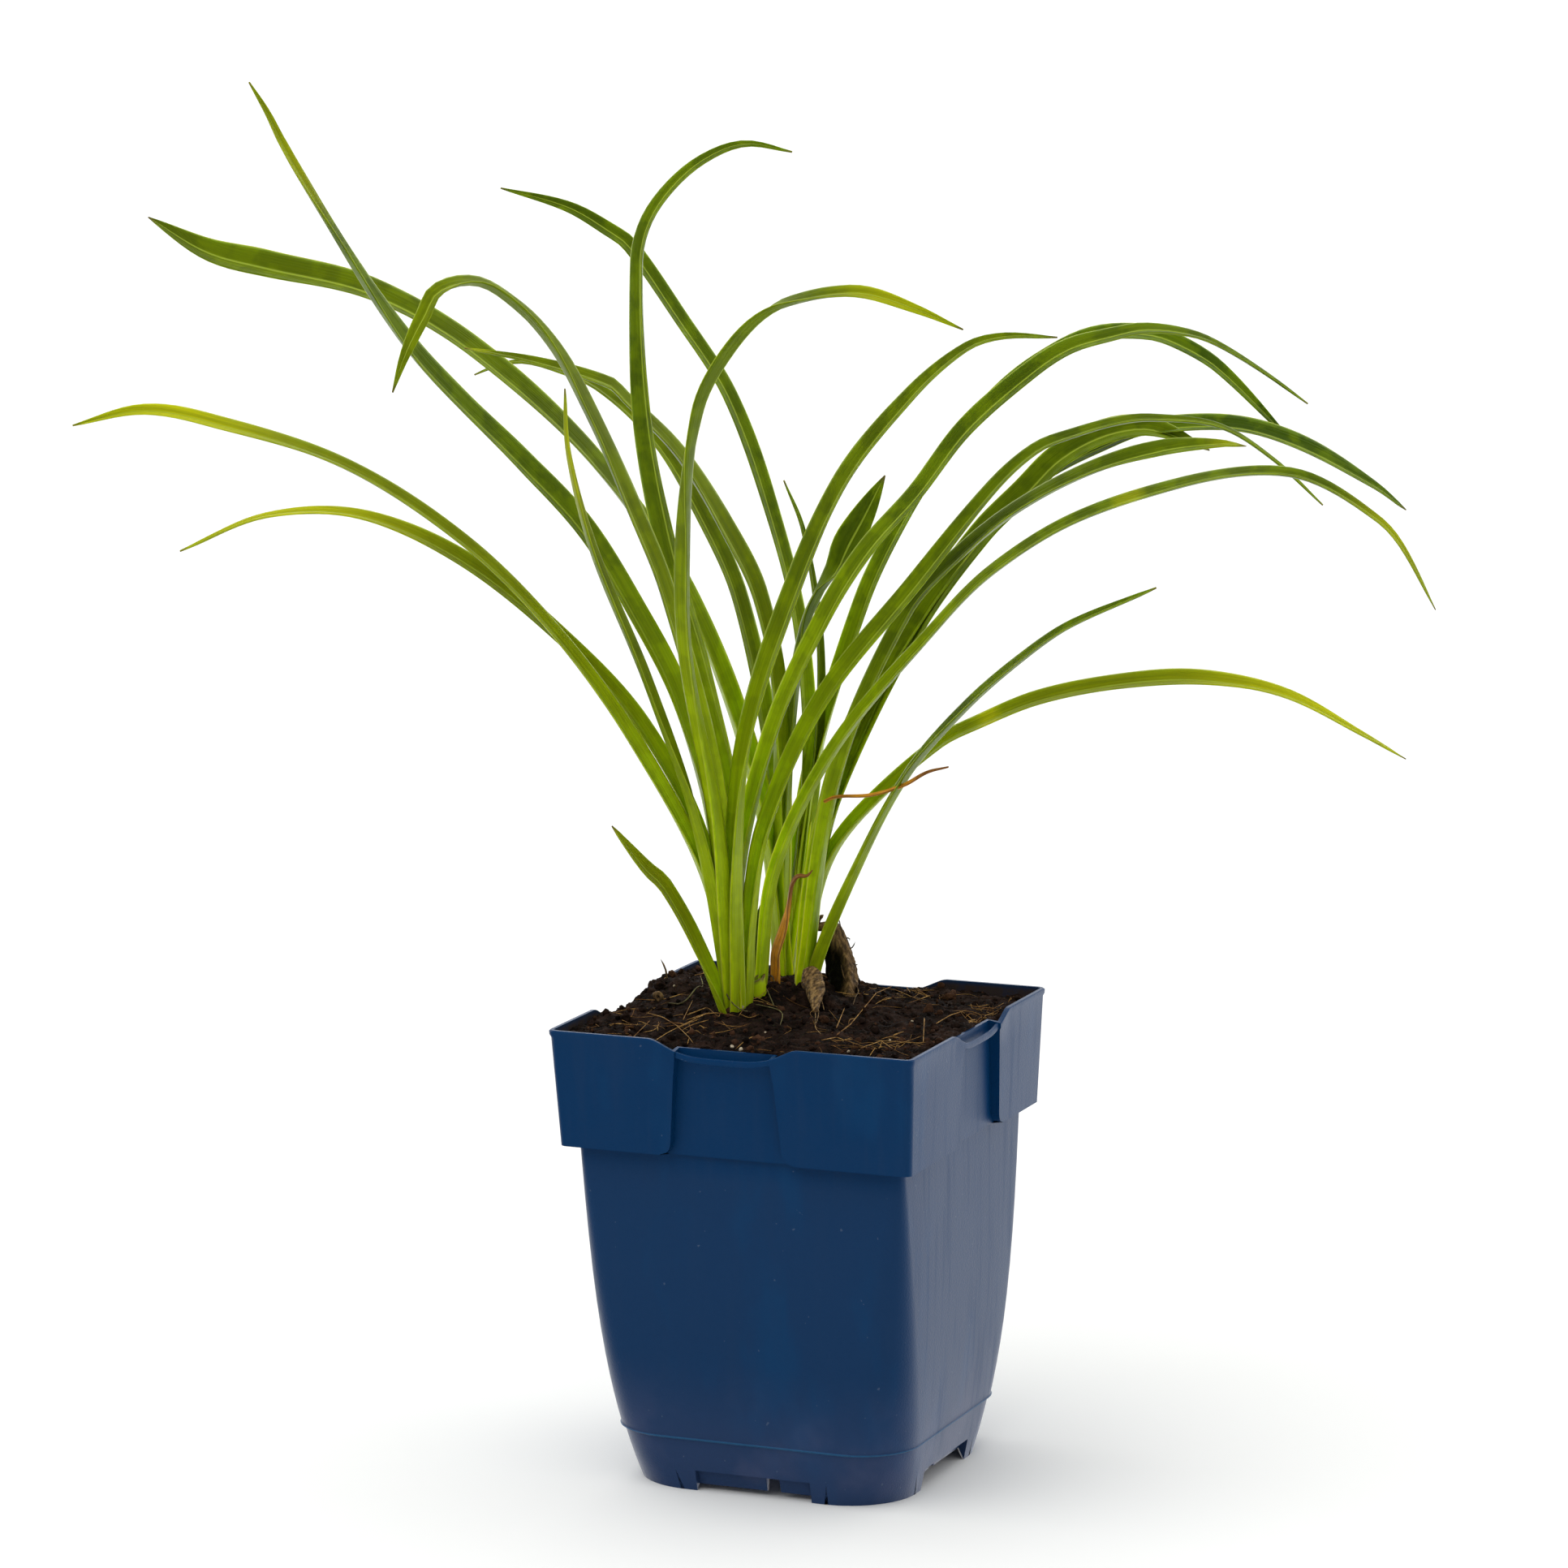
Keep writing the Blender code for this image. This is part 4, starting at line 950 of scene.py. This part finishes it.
def make_sheath():
    """Cut-back leaf sheath: a short wall round the foot of its leaf, with a ragged dry edge."""
    centres = all_in_view(SHEATH)
    marks = [station[1] for station in SHEATH]
    radii = [station[3] * MM for station in SHEATH]
    rows = 2 * SHEATH_ROWS + 1

    def shape(column, row):
        angle = math.tau * (column % SHEATH_SIDES) / SHEATH_SIDES
        inside = row > SHEATH_ROWS
        tooth = noise.noise(Vector((2.2 * math.cos(angle), 2.2 * math.sin(angle), 3)))
        top = marks[-1] + SHEATH_SLANT * math.cos(angle) + SHEATH_TEETH * tooth
        mark = blend(marks[0], top, min(row, rows - row) / SHEATH_ROWS)
        centre = Vector([between(marks, [point[k] for point in centres], mark) for k in range(3)])
        radius = between(marks, radii, mark) - (SHEATH_THICKNESS if inside else 0)
        place = centre + Vector((math.cos(angle + VIEW_HEADING), math.sin(angle + VIEW_HEADING), 0)) * radius
        place.z = POT_HEIGHT + mark * MM
        return place, (*SHEATH_LOOK, float(inside), ease((mark - top) / SHEATH_DRY_EDGE + 1))

    bm = wrapped_grid(SHEATH_SIDES, rows, shape, LEAF_LAYERS, open_ends=True)
    bmesh.ops.bridge_loops(bm, edges=[edge for edge in bm.edges if edge.is_boundary])
    bmesh.ops.recalc_face_normals(bm, faces=bm.faces)
    return bm


def make_fan(fan, material):
    """All leaves of a fan with their crown, in one piece."""
    bm = bmesh.new()
    for leaf in fan.leaves:
        root = in_view(0.5 * (leaf.route[0][0] + fan.place[0]), ROOTED_AT, 0.5 * (leaf.depths[0] + fan.place[1]))
        merge_into(bm, make_blade(leaf, root))
    if fan is MIDDLE_FAN:
        merge_into(bm, make_sheath())
    merge_into(bm, make_crown(fan))
    make_piece(fan.name + "_leaves", bm, material, "leaf", fan.name)


# Pot

QUARTER_TURNS = [Matrix.Rotation(math.radians(90 * side), 3, "Z") for side in range(4)]


def body_half(height):
    """Half the pot's width below its collar, a little less below the skirt line, which stands out."""
    half = BODY_TOP_HALF - BODY_TAPER * (1 - height / POT_HEIGHT) ** BODY_TAPER_POWER
    if height < SKIRT_TOP:
        half -= SKIRT_STEP
    return half + (SKIRT_RIDGE if abs(height - SKIRT_TOP) < 0.75 * SKIRT_LINE else 0)


def body_corner(height):
    """Corner radius below the collar, widest at the foot."""
    return blend(BODY_FOOT_CORNER, BODY_TOP_CORNER, height / (POT_HEIGHT - COLLAR_HEIGHT))


def panel_half(rise):
    """Half the width of a set-back panel at a rise over the collar's ledge."""
    return blend(PANEL_FOOT_HALF, PANEL_TOP_HALF, rise / COLLAR_HEIGHT)


def lean(height):
    """Sideways place of the pot's axis at a height."""
    return FOOT_SHIFT * (1 - height / POT_HEIGHT)


def hand(side):
    """Neighbouring sides mirror each other: +1 on front and back, -1 on the others."""
    return 1 if side % 2 == 0 else -1


def rim_dip(along, side):
    """How far the rim lies below the pot's height at a place along a side."""
    share = min(abs(along + hand(side) * PANEL_SHIFT) / RIM_DIP_HALF, 1.0)
    return RIM_DIP * (1 - share ** 4) ** 2


def side_outline(side, face, radius, inset, edge_half, step, shift):
    """One side of a level section as (along, out, part), from its left corner to its right."""
    angles = [math.radians(180 + 90 * k / CORNER_SEGMENTS) for k in range(CORNER_SEGMENTS + 1)]
    corner = [(-face + radius + radius * math.cos(angle), -face + radius + radius * math.sin(angle))
              for angle in angles]
    reach = edge_half + inset
    lobe = [blend(RIM_DIP_HALF, reach, k / LOBE_STEPS) for k in range(LOBE_STEPS + 1)]
    slot = hand(side) * SLOT_PLACE
    panel = [(shift + share * reach, "panel") for share in (-1, *PANEL_COLUMNS[side % 2], 1)]
    panel += [(slot + sign * (SLOT_HALF + SLOT_DRAFT), "panel") for sign in (-1, 1)]
    panel += [(slot + sign * SLOT_HALF, "slot") for sign in (-1, 1)]
    outline = [(*place, "lobe") for place in corner]
    outline += [(shift - along, -face, "lobe") for along in lobe]
    outline += [(along, -face + step, part) for along, part in sorted(panel)]
    return outline + [(shift + along, -face, "lobe") for along in reversed(lobe)]


def ring(level, half, corner, inset, edge_half, step, edge_shift=0.0, drop=None):
    """A level section: rounded square with the middle of each side set back by step.

    drop, where given, turns a place along a side and its part into the fall of that point.
    """
    points = []
    radius = max(corner - inset, SHARPEST_CORNER)
    for side in range(4):
        for along, out, part in side_outline(side, half - inset, radius, inset, edge_half, step,
                                             -hand(side) * edge_shift):
            fall = drop(along, side, part) if drop else 0.0
            points.append(QUARTER_TURNS[side] @ Vector((along, out, level - fall)) + lean(level))
    return points


def rim_fall(along, side, part):
    """The rim's fall: the dip on the lobes, a straight lower edge on the panels."""
    return rim_dip(along, side) if part == "lobe" else PANEL_DROP


def foot_fall(along, side, part):
    """The foot's strips end a little above the floor that the corners stand on, and open in a slot."""
    return {"lobe": 0.0, "panel": -NOTCH_LIFT[side % 2], "slot": -SLOT_TOP}[part]


def body_ring(level, inset, step=0.0, drop=None):
    """A level section of the wall below the collar."""
    return ring(level, body_half(level), body_corner(level), inset, NOTCH_HALF, step, drop=drop)


def collar_ring(rise, inset, reach=0.0, drop=None):
    """A level section of the collar at a rise over its ledge."""
    share = rise / COLLAR_HEIGHT
    half = blend(COLLAR_FOOT_HALF, COLLAR_TOP_HALF, share) + reach
    step = blend(PANEL_FOOT_STEP, PANEL_TOP_STEP, share) + reach
    edge_half = panel_half(rise)
    if rise < LOBE_ROUNDING:
        short = LOBE_ROUNDING - rise
        edge_half += LOBE_ROUNDING - math.sqrt(LOBE_ROUNDING ** 2 - short ** 2)
    return ring(POT_HEIGHT - COLLAR_HEIGHT + rise, half, COLLAR_CORNER, inset, edge_half, step, PANEL_SHIFT,
                drop=drop)


def wall_rings(inset):
    """The pot's wall from foot to rim, as rings, set in from the outer face by inset."""
    rings = [body_ring(0, inset, NOTCH_STEP, foot_fall), body_ring(NOTCH_HEIGHT + inset, inset, NOTCH_STEP)]
    rings += [body_ring(level, inset) for level in (NOTCH_HEIGHT + inset, *BODY_LEVELS)]
    ledge = POT_HEIGHT - COLLAR_HEIGHT + inset
    rings.append(ring(ledge, BODY_TOP_HALF, BODY_TOP_CORNER, inset, PANEL_FOOT_HALF, 0, PANEL_SHIFT))
    rises = [blend(inset, LOBE_ROUNDING, k / LOBE_ROUNDING_STEPS) for k in range(LOBE_ROUNDING_STEPS + 1)]
    rings += [collar_ring(rise, inset) for rise in (*rises, *COLLAR_RISES)]
    lip = [(LIP_HEIGHT, 0)] if inset else [(LIP_FOOT, 0), (LIP_HEIGHT, LIP_REACH), (LIP_REACH, LIP_REACH)]
    return rings + [collar_ring(COLLAR_HEIGHT - below, inset, reach, rim_fall) for below, reach in (*lip, (0, 0))]


def make_bead(side):
    """Rounded rim bead that bridges two lobes in front of a panel and follows the dip."""
    reach = PANEL_TOP_HALF + 0.5 * WALL

    def shape(column, row):
        along = reach * (2 * row / BEAD_SEGMENTS - 1) - hand(side) * PANEL_SHIFT
        angle = math.tau * (column % BEAD_SIDES + 0.5) / BEAD_SIDES
        out = -BEAD_OUTER_HALF + 0.5 * BEAD_DEPTH * (1 + squared(math.cos(angle)))
        top = POT_HEIGHT - rim_dip(along, side) - BEAD_SINK
        height = top - 0.5 * BEAD_HEIGHT * (1 - squared(math.sin(angle)))
        return QUARTER_TURNS[side] @ Vector((along, out, height)), (0.0, 0.0)

    return wrapped_grid(BEAD_SIDES, BEAD_SEGMENTS, shape, POT_LAYERS)


def squared(value):
    """Pushes a sine or cosine outward, so that a round section becomes a rounded square."""
    return math.copysign(abs(value) ** 0.5, value)


def make_floor_plate():
    """The pot's floor with its drain holes."""
    bm = bmesh.new()
    inside = [bm.verts.layers.float.new(name) for name in POT_LAYERS][1]
    outline = [bm.verts.new(point) for point in body_ring(FLOOR_BASE, WALL - FLOOR_BITE)]
    for k in range(len(outline)):
        bm.edges.new((outline[k - 1], outline[k]))
    places = [(0, 0)] + [(x * DRAIN_SPACING, y * DRAIN_SPACING) for x in (-1, 1) for y in (-1, 1)]
    for x, y in places:
        hole = bmesh.ops.create_circle(bm, segments=DRAIN_SIDES, radius=DRAIN_RADIUS)["verts"]
        bmesh.ops.translate(bm, vec=Vector((x, y, FLOOR_BASE)) + lean(FLOOR_BASE), verts=hole)
    bmesh.ops.remove_doubles(bm, verts=bm.verts, dist=MERGE)
    bmesh.ops.triangle_fill(bm, use_beauty=True, edges=bm.edges)
    raised = bmesh.ops.extrude_face_region(bm, geom=bm.faces[:])["geom"]
    verts = [item for item in raised if isinstance(item, bmesh.types.BMVert)]
    bmesh.ops.translate(bm, vec=(0, 0, FLOOR_THICKNESS), verts=verts)
    bmesh.ops.recalc_face_normals(bm, faces=bm.faces)
    for vert in bm.verts:
        vert[inside] = FLOOR_DIRT
    return bm


def make_pot(material):
    """The moulded pot: wall, floor and rim beads."""
    outer = wall_rings(0.0)
    rings = outer + wall_rings(WALL)[::-1]
    count = len(rings[0])

    def shape(column, row):
        place = rings[row % len(rings)][column % count]
        # The ridge layer marks the skirt ridge on the outer face, for its painted highlight line
        ridge = ease(1.5 - abs(place.z - SKIRT_TOP) / SKIRT_LINE) if row < len(outer) else 0.0
        return place, (ridge, float(len(outer) < row < len(rings)))

    bm = wrapped_grid(count, len(rings), shape, POT_LAYERS)
    for side in range(4):
        merge_into(bm, make_bead(side))
    merge_into(bm, make_floor_plate())
    piece = make_piece("pot_wall", bm, material, "pot_plastic", "pot")
    piece.data.set_sharp_from_angle(angle=POT_SHARP_ANGLE)


# Soil

SOIL_RISES = [(in_view(across, 0, toward), rise * MM, spread * MM) for across, toward, rise, spread in SOIL_BUMPS]


def soil_surface(x, y):
    """Height of the rough surface over the floor."""
    height = POT_HEIGHT + SOIL_LEVEL
    for middle, rise, spread in SOIL_RISES:
        height += rise * math.exp(-((x - middle.x) ** 2 + (y - middle.y) ** 2) / (2 * spread ** 2))
    place = Vector((x, y, 0))
    height += SOIL_CLUMP * noise.fractal(place / SOIL_CLUMP_SIZE, 0.8, 2, 3)
    height += SOIL_LUMP * (0.45 - noise.voronoi(place / SOIL_LUMP_SIZE)[0][0])
    return height + SOIL_CRUMB * noise.fractal(place / SOIL_CRUMB_SIZE, 0.7, 2, 3)


def panel_cut(along, other, edge_half):
    """How far the soil stays back from a side behind its set-back panel."""
    shift = math.copysign(PANEL_SHIFT, other)
    return SOIL_STEP_BACK * ease((edge_half + SOIL_STEP_MARGIN - abs(along - shift)) / SOIL_STEP_EASE)


def level_place(u, v, half, corner, cut, edge_half):
    """A place of the unit square, moved to a level section with round corners and set-back panels."""
    x, y = half * u, half * v
    past = Vector((abs(x) - half + corner, abs(y) - half + corner))
    if past.x > 0 and past.y > 0:
        past *= max(past) / past.length
        x = math.copysign(half - corner + past.x, x)
        y = math.copysign(half - corner + past.y, y)
    near = [ease((abs(value) - 0.7 * half) / (0.3 * half)) for value in (x, y)]
    back = cut * near[0] * panel_cut(y, x, edge_half), cut * near[1] * panel_cut(x, y, edge_half)
    return x - math.copysign(back[0], x), y - math.copysign(back[1], y)


def soil_top(u, v):
    """A point of the soil's surface for a place of the unit square."""
    x, y = level_place(u, v, SOIL_REACH, SOIL_CORNER, 1, PANEL_TOP_HALF)
    return Vector((x, y, soil_surface(x, y)))


def make_soil(material):
    """The soil: a rough surface and a plain body below it that fills the pot."""
    bm = bmesh.new()
    bmesh.ops.create_grid(bm, x_segments=SOIL_CELLS, y_segments=SOIL_CELLS, size=1.0)
    for vert in bm.verts:
        vert.co = soil_top(vert.co.x, vert.co.y)

    def shape(column, row):
        side, step = divmod(column % (4 * SOIL_CELLS), SOIL_CELLS)
        along = -1 + 2 * step / SOIL_CELLS
        u, v = ((along, -1), (1, along), (-along, 1), (-1, -along))[side]
        if row == 0:
            return soil_top(u, v), ()
        level = SOIL_WALL_LEVELS[row - 1]
        rise = level - POT_HEIGHT + COLLAR_HEIGHT
        if rise > 0:
            x, y = level_place(u, v, SOIL_COLLAR_HALF, SOIL_CORNER, SOIL_COLLAR_CUT, panel_half(rise))
        else:
            x, y = level_place(u, v, body_half(level) - 0.5 * WALL, body_corner(level), 0, 0)
        return Vector((x, y, level)) + lean(level), ()

    merge_into(bm, wrapped_grid(4 * SOIL_CELLS, len(SOIL_WALL_LEVELS), shape, open_ends=True))
    bmesh.ops.remove_doubles(bm, verts=bm.verts, dist=MERGE)
    close_up(bm)
    make_piece("soil_body", bm, material, "soil", "soil")


def make_lumps(lumps, detail, roughness):
    """Rough rounded lumps, each given by its place, radii, turn and tint."""
    bm = bmesh.new()
    tint = bm.verts.layers.float.new("tint")
    bmesh.ops.create_icosphere(bm, subdivisions=detail, radius=1.0)
    size = len(bm.verts)
    while len(bm.verts) < size * len(lumps):
        bmesh.ops.duplicate(bm, geom=bm.verts[:] + bm.edges[:] + bm.faces[:])
    verts = bm.verts[:]
    for k, vert in enumerate(verts[:size * len(lumps)]):
        place, radii, turn, shade = lumps[k // size]
        rough = 1 + roughness * noise.noise(1.3 * vert.co + place / MM)
        vert.co = place + turn @ (Matrix.Diagonal(radii) @ vert.co * rough)
        vert[tint] = shade
    bmesh.ops.delete(bm, geom=verts[size * len(lumps):], context="VERTS")
    return bm


def any_lump(chance, place, size, shapes):
    """Place of a lump, its radii from the least to the most share of its size, and a turn about all axes."""
    radii = [size * chance.uniform(*shapes) for axis in range(3)]
    return place, radii, Euler([chance.uniform(0, math.tau) for axis in range(3)]).to_matrix()


def on_soil(across, lift, toward):
    """A place a little above the soil; millimetres in, metres out."""
    place = in_view(across, 0, toward)
    place.z = soil_surface(place.x, place.y) + lift * MM
    return place


def make_crumbs(material):
    """Loose crumbs all over the soil, with larger clods at chosen places."""
    chance = random.Random(4)
    crumbs = []
    for k in range(CRUMB_COUNT):
        place = soil_top(*[chance.uniform(-CRUMB_SPREAD, CRUMB_SPREAD) for axis in range(2)])
        size = blend(*CRUMB_SIZES, chance.random() ** 3)
        crumbs.append((*any_lump(chance, place + UP * CRUMB_LIFT * size, size, CRUMB_SHAPES), chance.random() ** 2))
    bm = make_lumps(crumbs, 1, CRUMB_ROUGHNESS)
    clods = []
    for across, toward, size in CLODS:
        place = on_soil(across, CLOD_LIFT * size, toward)
        clods.append((*any_lump(chance, place, size * MM, CLOD_SHAPES), chance.random()))
    merge_into(bm, make_lumps(clods, 3, CLOD_ROUGHNESS))
    make_piece("soil_crumbs", bm, material, "soil", "soil")


def make_grains(material):
    """A few pale mineral grains."""
    chance = random.Random(2)
    grains = [(*any_lump(chance, on_soil(across, GRAIN_LIFT, toward), size * MM, GRAIN_SHAPES), 1.0)
              for across, toward, size in GRAINS]
    make_piece("pale_grains", make_lumps(grains, 2, CRUMB_ROUGHNESS), material, "soil", "soil")


def make_fibre(knots, radius, rows=0, straight=False):
    """Thin fibre through its knots, kinked at them where it is straight."""
    line = knots if straight else smooth_route(knots)
    points = resample(line, line_lengths(line)[-1] / rows if rows else FIBRE_SPACING)
    return tube_along(points, [radius * MM * (1 - 0.5 * k / len(points)) for k in range(len(points))], FIBRE_SIDES)


def make_straw(material):
    """Long straws at chosen places and short fibres scattered over the soil, some of them in tufts."""
    chance = random.Random(7)
    bm = bmesh.new()
    for radius, stations in STRAW:
        merge_into(bm, make_fibre([on_soil(*station) for station in stations], STRAW_THINNING * radius,
                                  straight=True))
    for k in range(FIBRE_COUNT):
        in_tuft = k % 2
        if in_tuft:
            across, toward = TUFT_PLACES[k // 2 % len(TUFT_PLACES)]
            middle = in_view(across, 0, toward)
            middle += Vector([chance.gauss(0, TUFT_SPREAD) for axis in range(2)] + [0])
        else:
            middle = soil_top(*[chance.uniform(-FIBRE_SPREAD, FIBRE_SPREAD) for axis in range(2)])
        heading = chance.uniform(0, math.tau)
        length = chance.uniform(*FIBRE_LENGTHS) * (TUFT_LENGTH_SHARE if in_tuft else 1)
        knots = []
        for step in range(-1, 2):
            bend = heading + chance.uniform(-FIBRE_BEND, FIBRE_BEND)
            place = middle + 0.5 * step * length * Vector((math.cos(bend), math.sin(bend), 0))
            place.x, place.y = (min(max(value, -FIBRE_LIMIT), FIBRE_LIMIT) for value in place.xy)
            place.z = soil_surface(place.x, place.y) + chance.uniform(0, FIBRE_LIFT)
            knots.append(place)
        merge_into(bm, make_fibre(knots, chance.uniform(*FIBRE_RADII) / MM, FIBRE_ROWS))
    make_piece("straw_fibres", bm, material, "soil", "soil")


def make_rootlets(material):
    """Pale rootlets that lie on the soil and run down the left fan's foot."""
    bm = make_fibre(all_in_view(FAN_ROOTLET), FAN_ROOTLET_RADIUS)
    for radius, stations in ROOTLETS:
        merge_into(bm, make_fibre([on_soil(*station) for station in stations], radius))
    make_piece("pale_rootlets", bm, material, "old_root", "soil")


def make_clump(material):
    """A coiled brown lump on the left of the soil, with a twig behind it."""
    across, up, toward = CLUMP_MIDDLE
    stations = []
    for k in range(CLUMP_STATIONS):
        angle = math.radians(CLUMP_START - CLUMP_TURN * k)
        reach = CLUMP_REACH * (1 - k / (CLUMP_STATIONS + 1))
        stations.append((across + reach * math.cos(angle), up + reach * math.sin(angle),
                         toward + CLUMP_COMES_NEARER * k, CLUMP_RADIUS - CLUMP_RADIUS_LOSS * k))
    bm = make_tube(stations, CLUMP_SIDES, CLUMP_SPACING)
    merge_into(bm, make_fibre(all_in_view(TWIG), TWIG_RADIUS))
    make_piece("brown_clump", bm, material, "soil", "soil")


def make_roots(material, fibrous):
    """Both old roots with their wrinkled bark and hair roots, and the dented hollow of the large one, painted black
    as shade.
    """
    large, stub, small = (make_tube(stations, ROOT_SIDES, ROOT_ROW_LENGTH)
                          for stations in (LARGE_OLD_ROOT, ROOT_STUB, SMALL_OLD_ROOT))
    merge_into(large, stub)
    # Near the hollow the large root is dented and painted black as shade
    shaded = large.verts.layers.float["shaded"]
    for vert in large.verts:
        offset = vert.co - in_view(*HOLLOW_PLACE)
        off_centre = math.hypot(offset.dot(RIGHT) / HOLLOW_HALF_WIDTH, offset.z / HOLLOW_HALF_HEIGHT)
        share = ease((1.25 - off_centre) / 0.5) * ease(1 + offset.dot(NEARER) / HOLLOW_HALF_HEIGHT)
        vert[shaded] = max(vert[shaded], share)
        vert.co -= NEARER * HOLLOW_DEPTH * share
    shaded = small.verts.layers.float["shaded"]
    for vert in small.verts:
        vert[shaded] *= SMALL_ROOT_SHADE
    for hair in ROOT_HAIRS:
        owner = large if hair[0][2] < ROOT_HAIR_SPLIT else small
        merge_into(owner, make_fibre(all_in_view(hair), ROOT_HAIR_RADIUS))
    make_piece("large_root", large, material, "old_root", "old_root_large")
    make_piece("small_root", small, fibrous, "old_root", "old_root_small")


def make_plant():
    """All pieces with their materials."""
    leaf = make_leaf_material()
    plastic = make_pot_material()
    mix = make_soil_material()
    dead = make_dried_leaf_material()
    bark = make_fibre_material("old_root", BARK_PALE, BARK_DARK, 0.0016, stretch=(1, 1, 0.35))
    fibrous = make_fibre_material("fibrous_bark", FIBROUS_PALE, FIBROUS_DARK, 0.0012, stretch=(1, 0.15, 1))
    for fan in (LEFT_FAN, MIDDLE_FAN, RIGHT_FAN, BACK_FAN):
        make_fan(fan, leaf)
    make_pot(plastic)
    make_soil(mix)
    make_crumbs(mix)
    make_straw(make_fibre_material("straw", STRAW_PALE, STRAW_BROWN))
    make_rootlets(make_fibre_material("rootlet", ROOTLET_PALE, ROOTLET_DARK))
    make_grains(make_fibre_material("grain", GRAIN_WHITE, GRAIN_SHADE, 0.001))
    make_clump(bark)
    make_roots(bark, fibrous)
    for name, node, dried in (("folded_dried_leaf", "dried_leaf", DRIED_LEAF),
                              ("curled_wisp", "fan_right", DRIED_WISP)):
        make_piece(name, make_blade(dried, spacing=DRY_ROW_LENGTH), dead, "dried_leaf", node)


# Stage

def make_camera():
    """Camera at the solved place, aimed a little below the rim."""
    data = bpy.data.cameras.new("camera")
    data.sensor_width = SENSOR_WIDTH
    data.lens = FOCAL_PIXELS / FRAME_PIXELS * SENSOR_WIDTH
    data.clip_end = 2 * FLOOR_REACH
    camera = add_object("camera", data)
    level = CAMERA_DISTANCE * math.cos(CAMERA_RISE)
    camera.location = (level * math.sin(VIEW_HEADING), -level * math.cos(VIEW_HEADING),
                       POT_HEIGHT + CAMERA_DISTANCE * math.sin(CAMERA_RISE))
    camera.rotation_euler = (math.radians(90) - CAMERA_PITCH, 0, VIEW_HEADING + CAMERA_TURN)
    bpy.context.scene.camera = camera


def make_floor():
    """Wide plain floor."""
    bm = bmesh.new()
    bmesh.ops.create_grid(bm, x_segments=1, y_segments=1, size=FLOOR_REACH)
    plain = new_material("floor", Roughness=1.0, Specular_IOR_Level=0.0, Base_Color=(*FLOOR_WHITE, 1))[0]
    floor = add_mesh("floor", bm, plain)
    floor.visible_glossy = False


def make_light():
    """White surroundings, brighter behind the plant, and one broad soft light from above."""
    world = bpy.data.worlds.new("surroundings")
    world.use_nodes = True
    tree = world.node_tree
    direction = add_node(tree, "TexCoord").outputs["Generated"]
    split = add_node(tree, "SeparateXYZ", {"Vector": direction})
    soft = ramp(tree, split.outputs["Y"], -0.5, 0.6, SKY_FRONT, SKY_BACK)
    mirrored = ramp(tree, split.outputs["Y"], -0.3, 0.7, MIRRORED_FRONT, MIRRORED_BACK)
    is_mirrored = add_node(tree, "LightPath").outputs["Is Glossy Ray"]
    brightness = add_node(tree, "Mix", {0: is_mirrored, 2: soft, 3: mirrored}).outputs[0]
    tree.links.new(brightness, tree.nodes["Background"].inputs["Strength"])
    tree.nodes["Background"].inputs["Color"].default_value = (1, 1, 1, 1)
    bpy.context.scene.world = world
    sun = bpy.data.lights.new("soft_light", "SUN")
    sun.energy = SUN_STRENGTH
    sun.angle = SUN_SPREAD
    lamp = add_object("soft_light", sun)
    lamp.rotation_euler = (SUN_TILT, 0, SUN_HEADING)
    lamp.visible_glossy = False


PATCHES = make_patches_group()
bpy.context.scene.view_settings.view_transform = "Standard"
make_plant()
make_camera()
make_floor()
make_light()
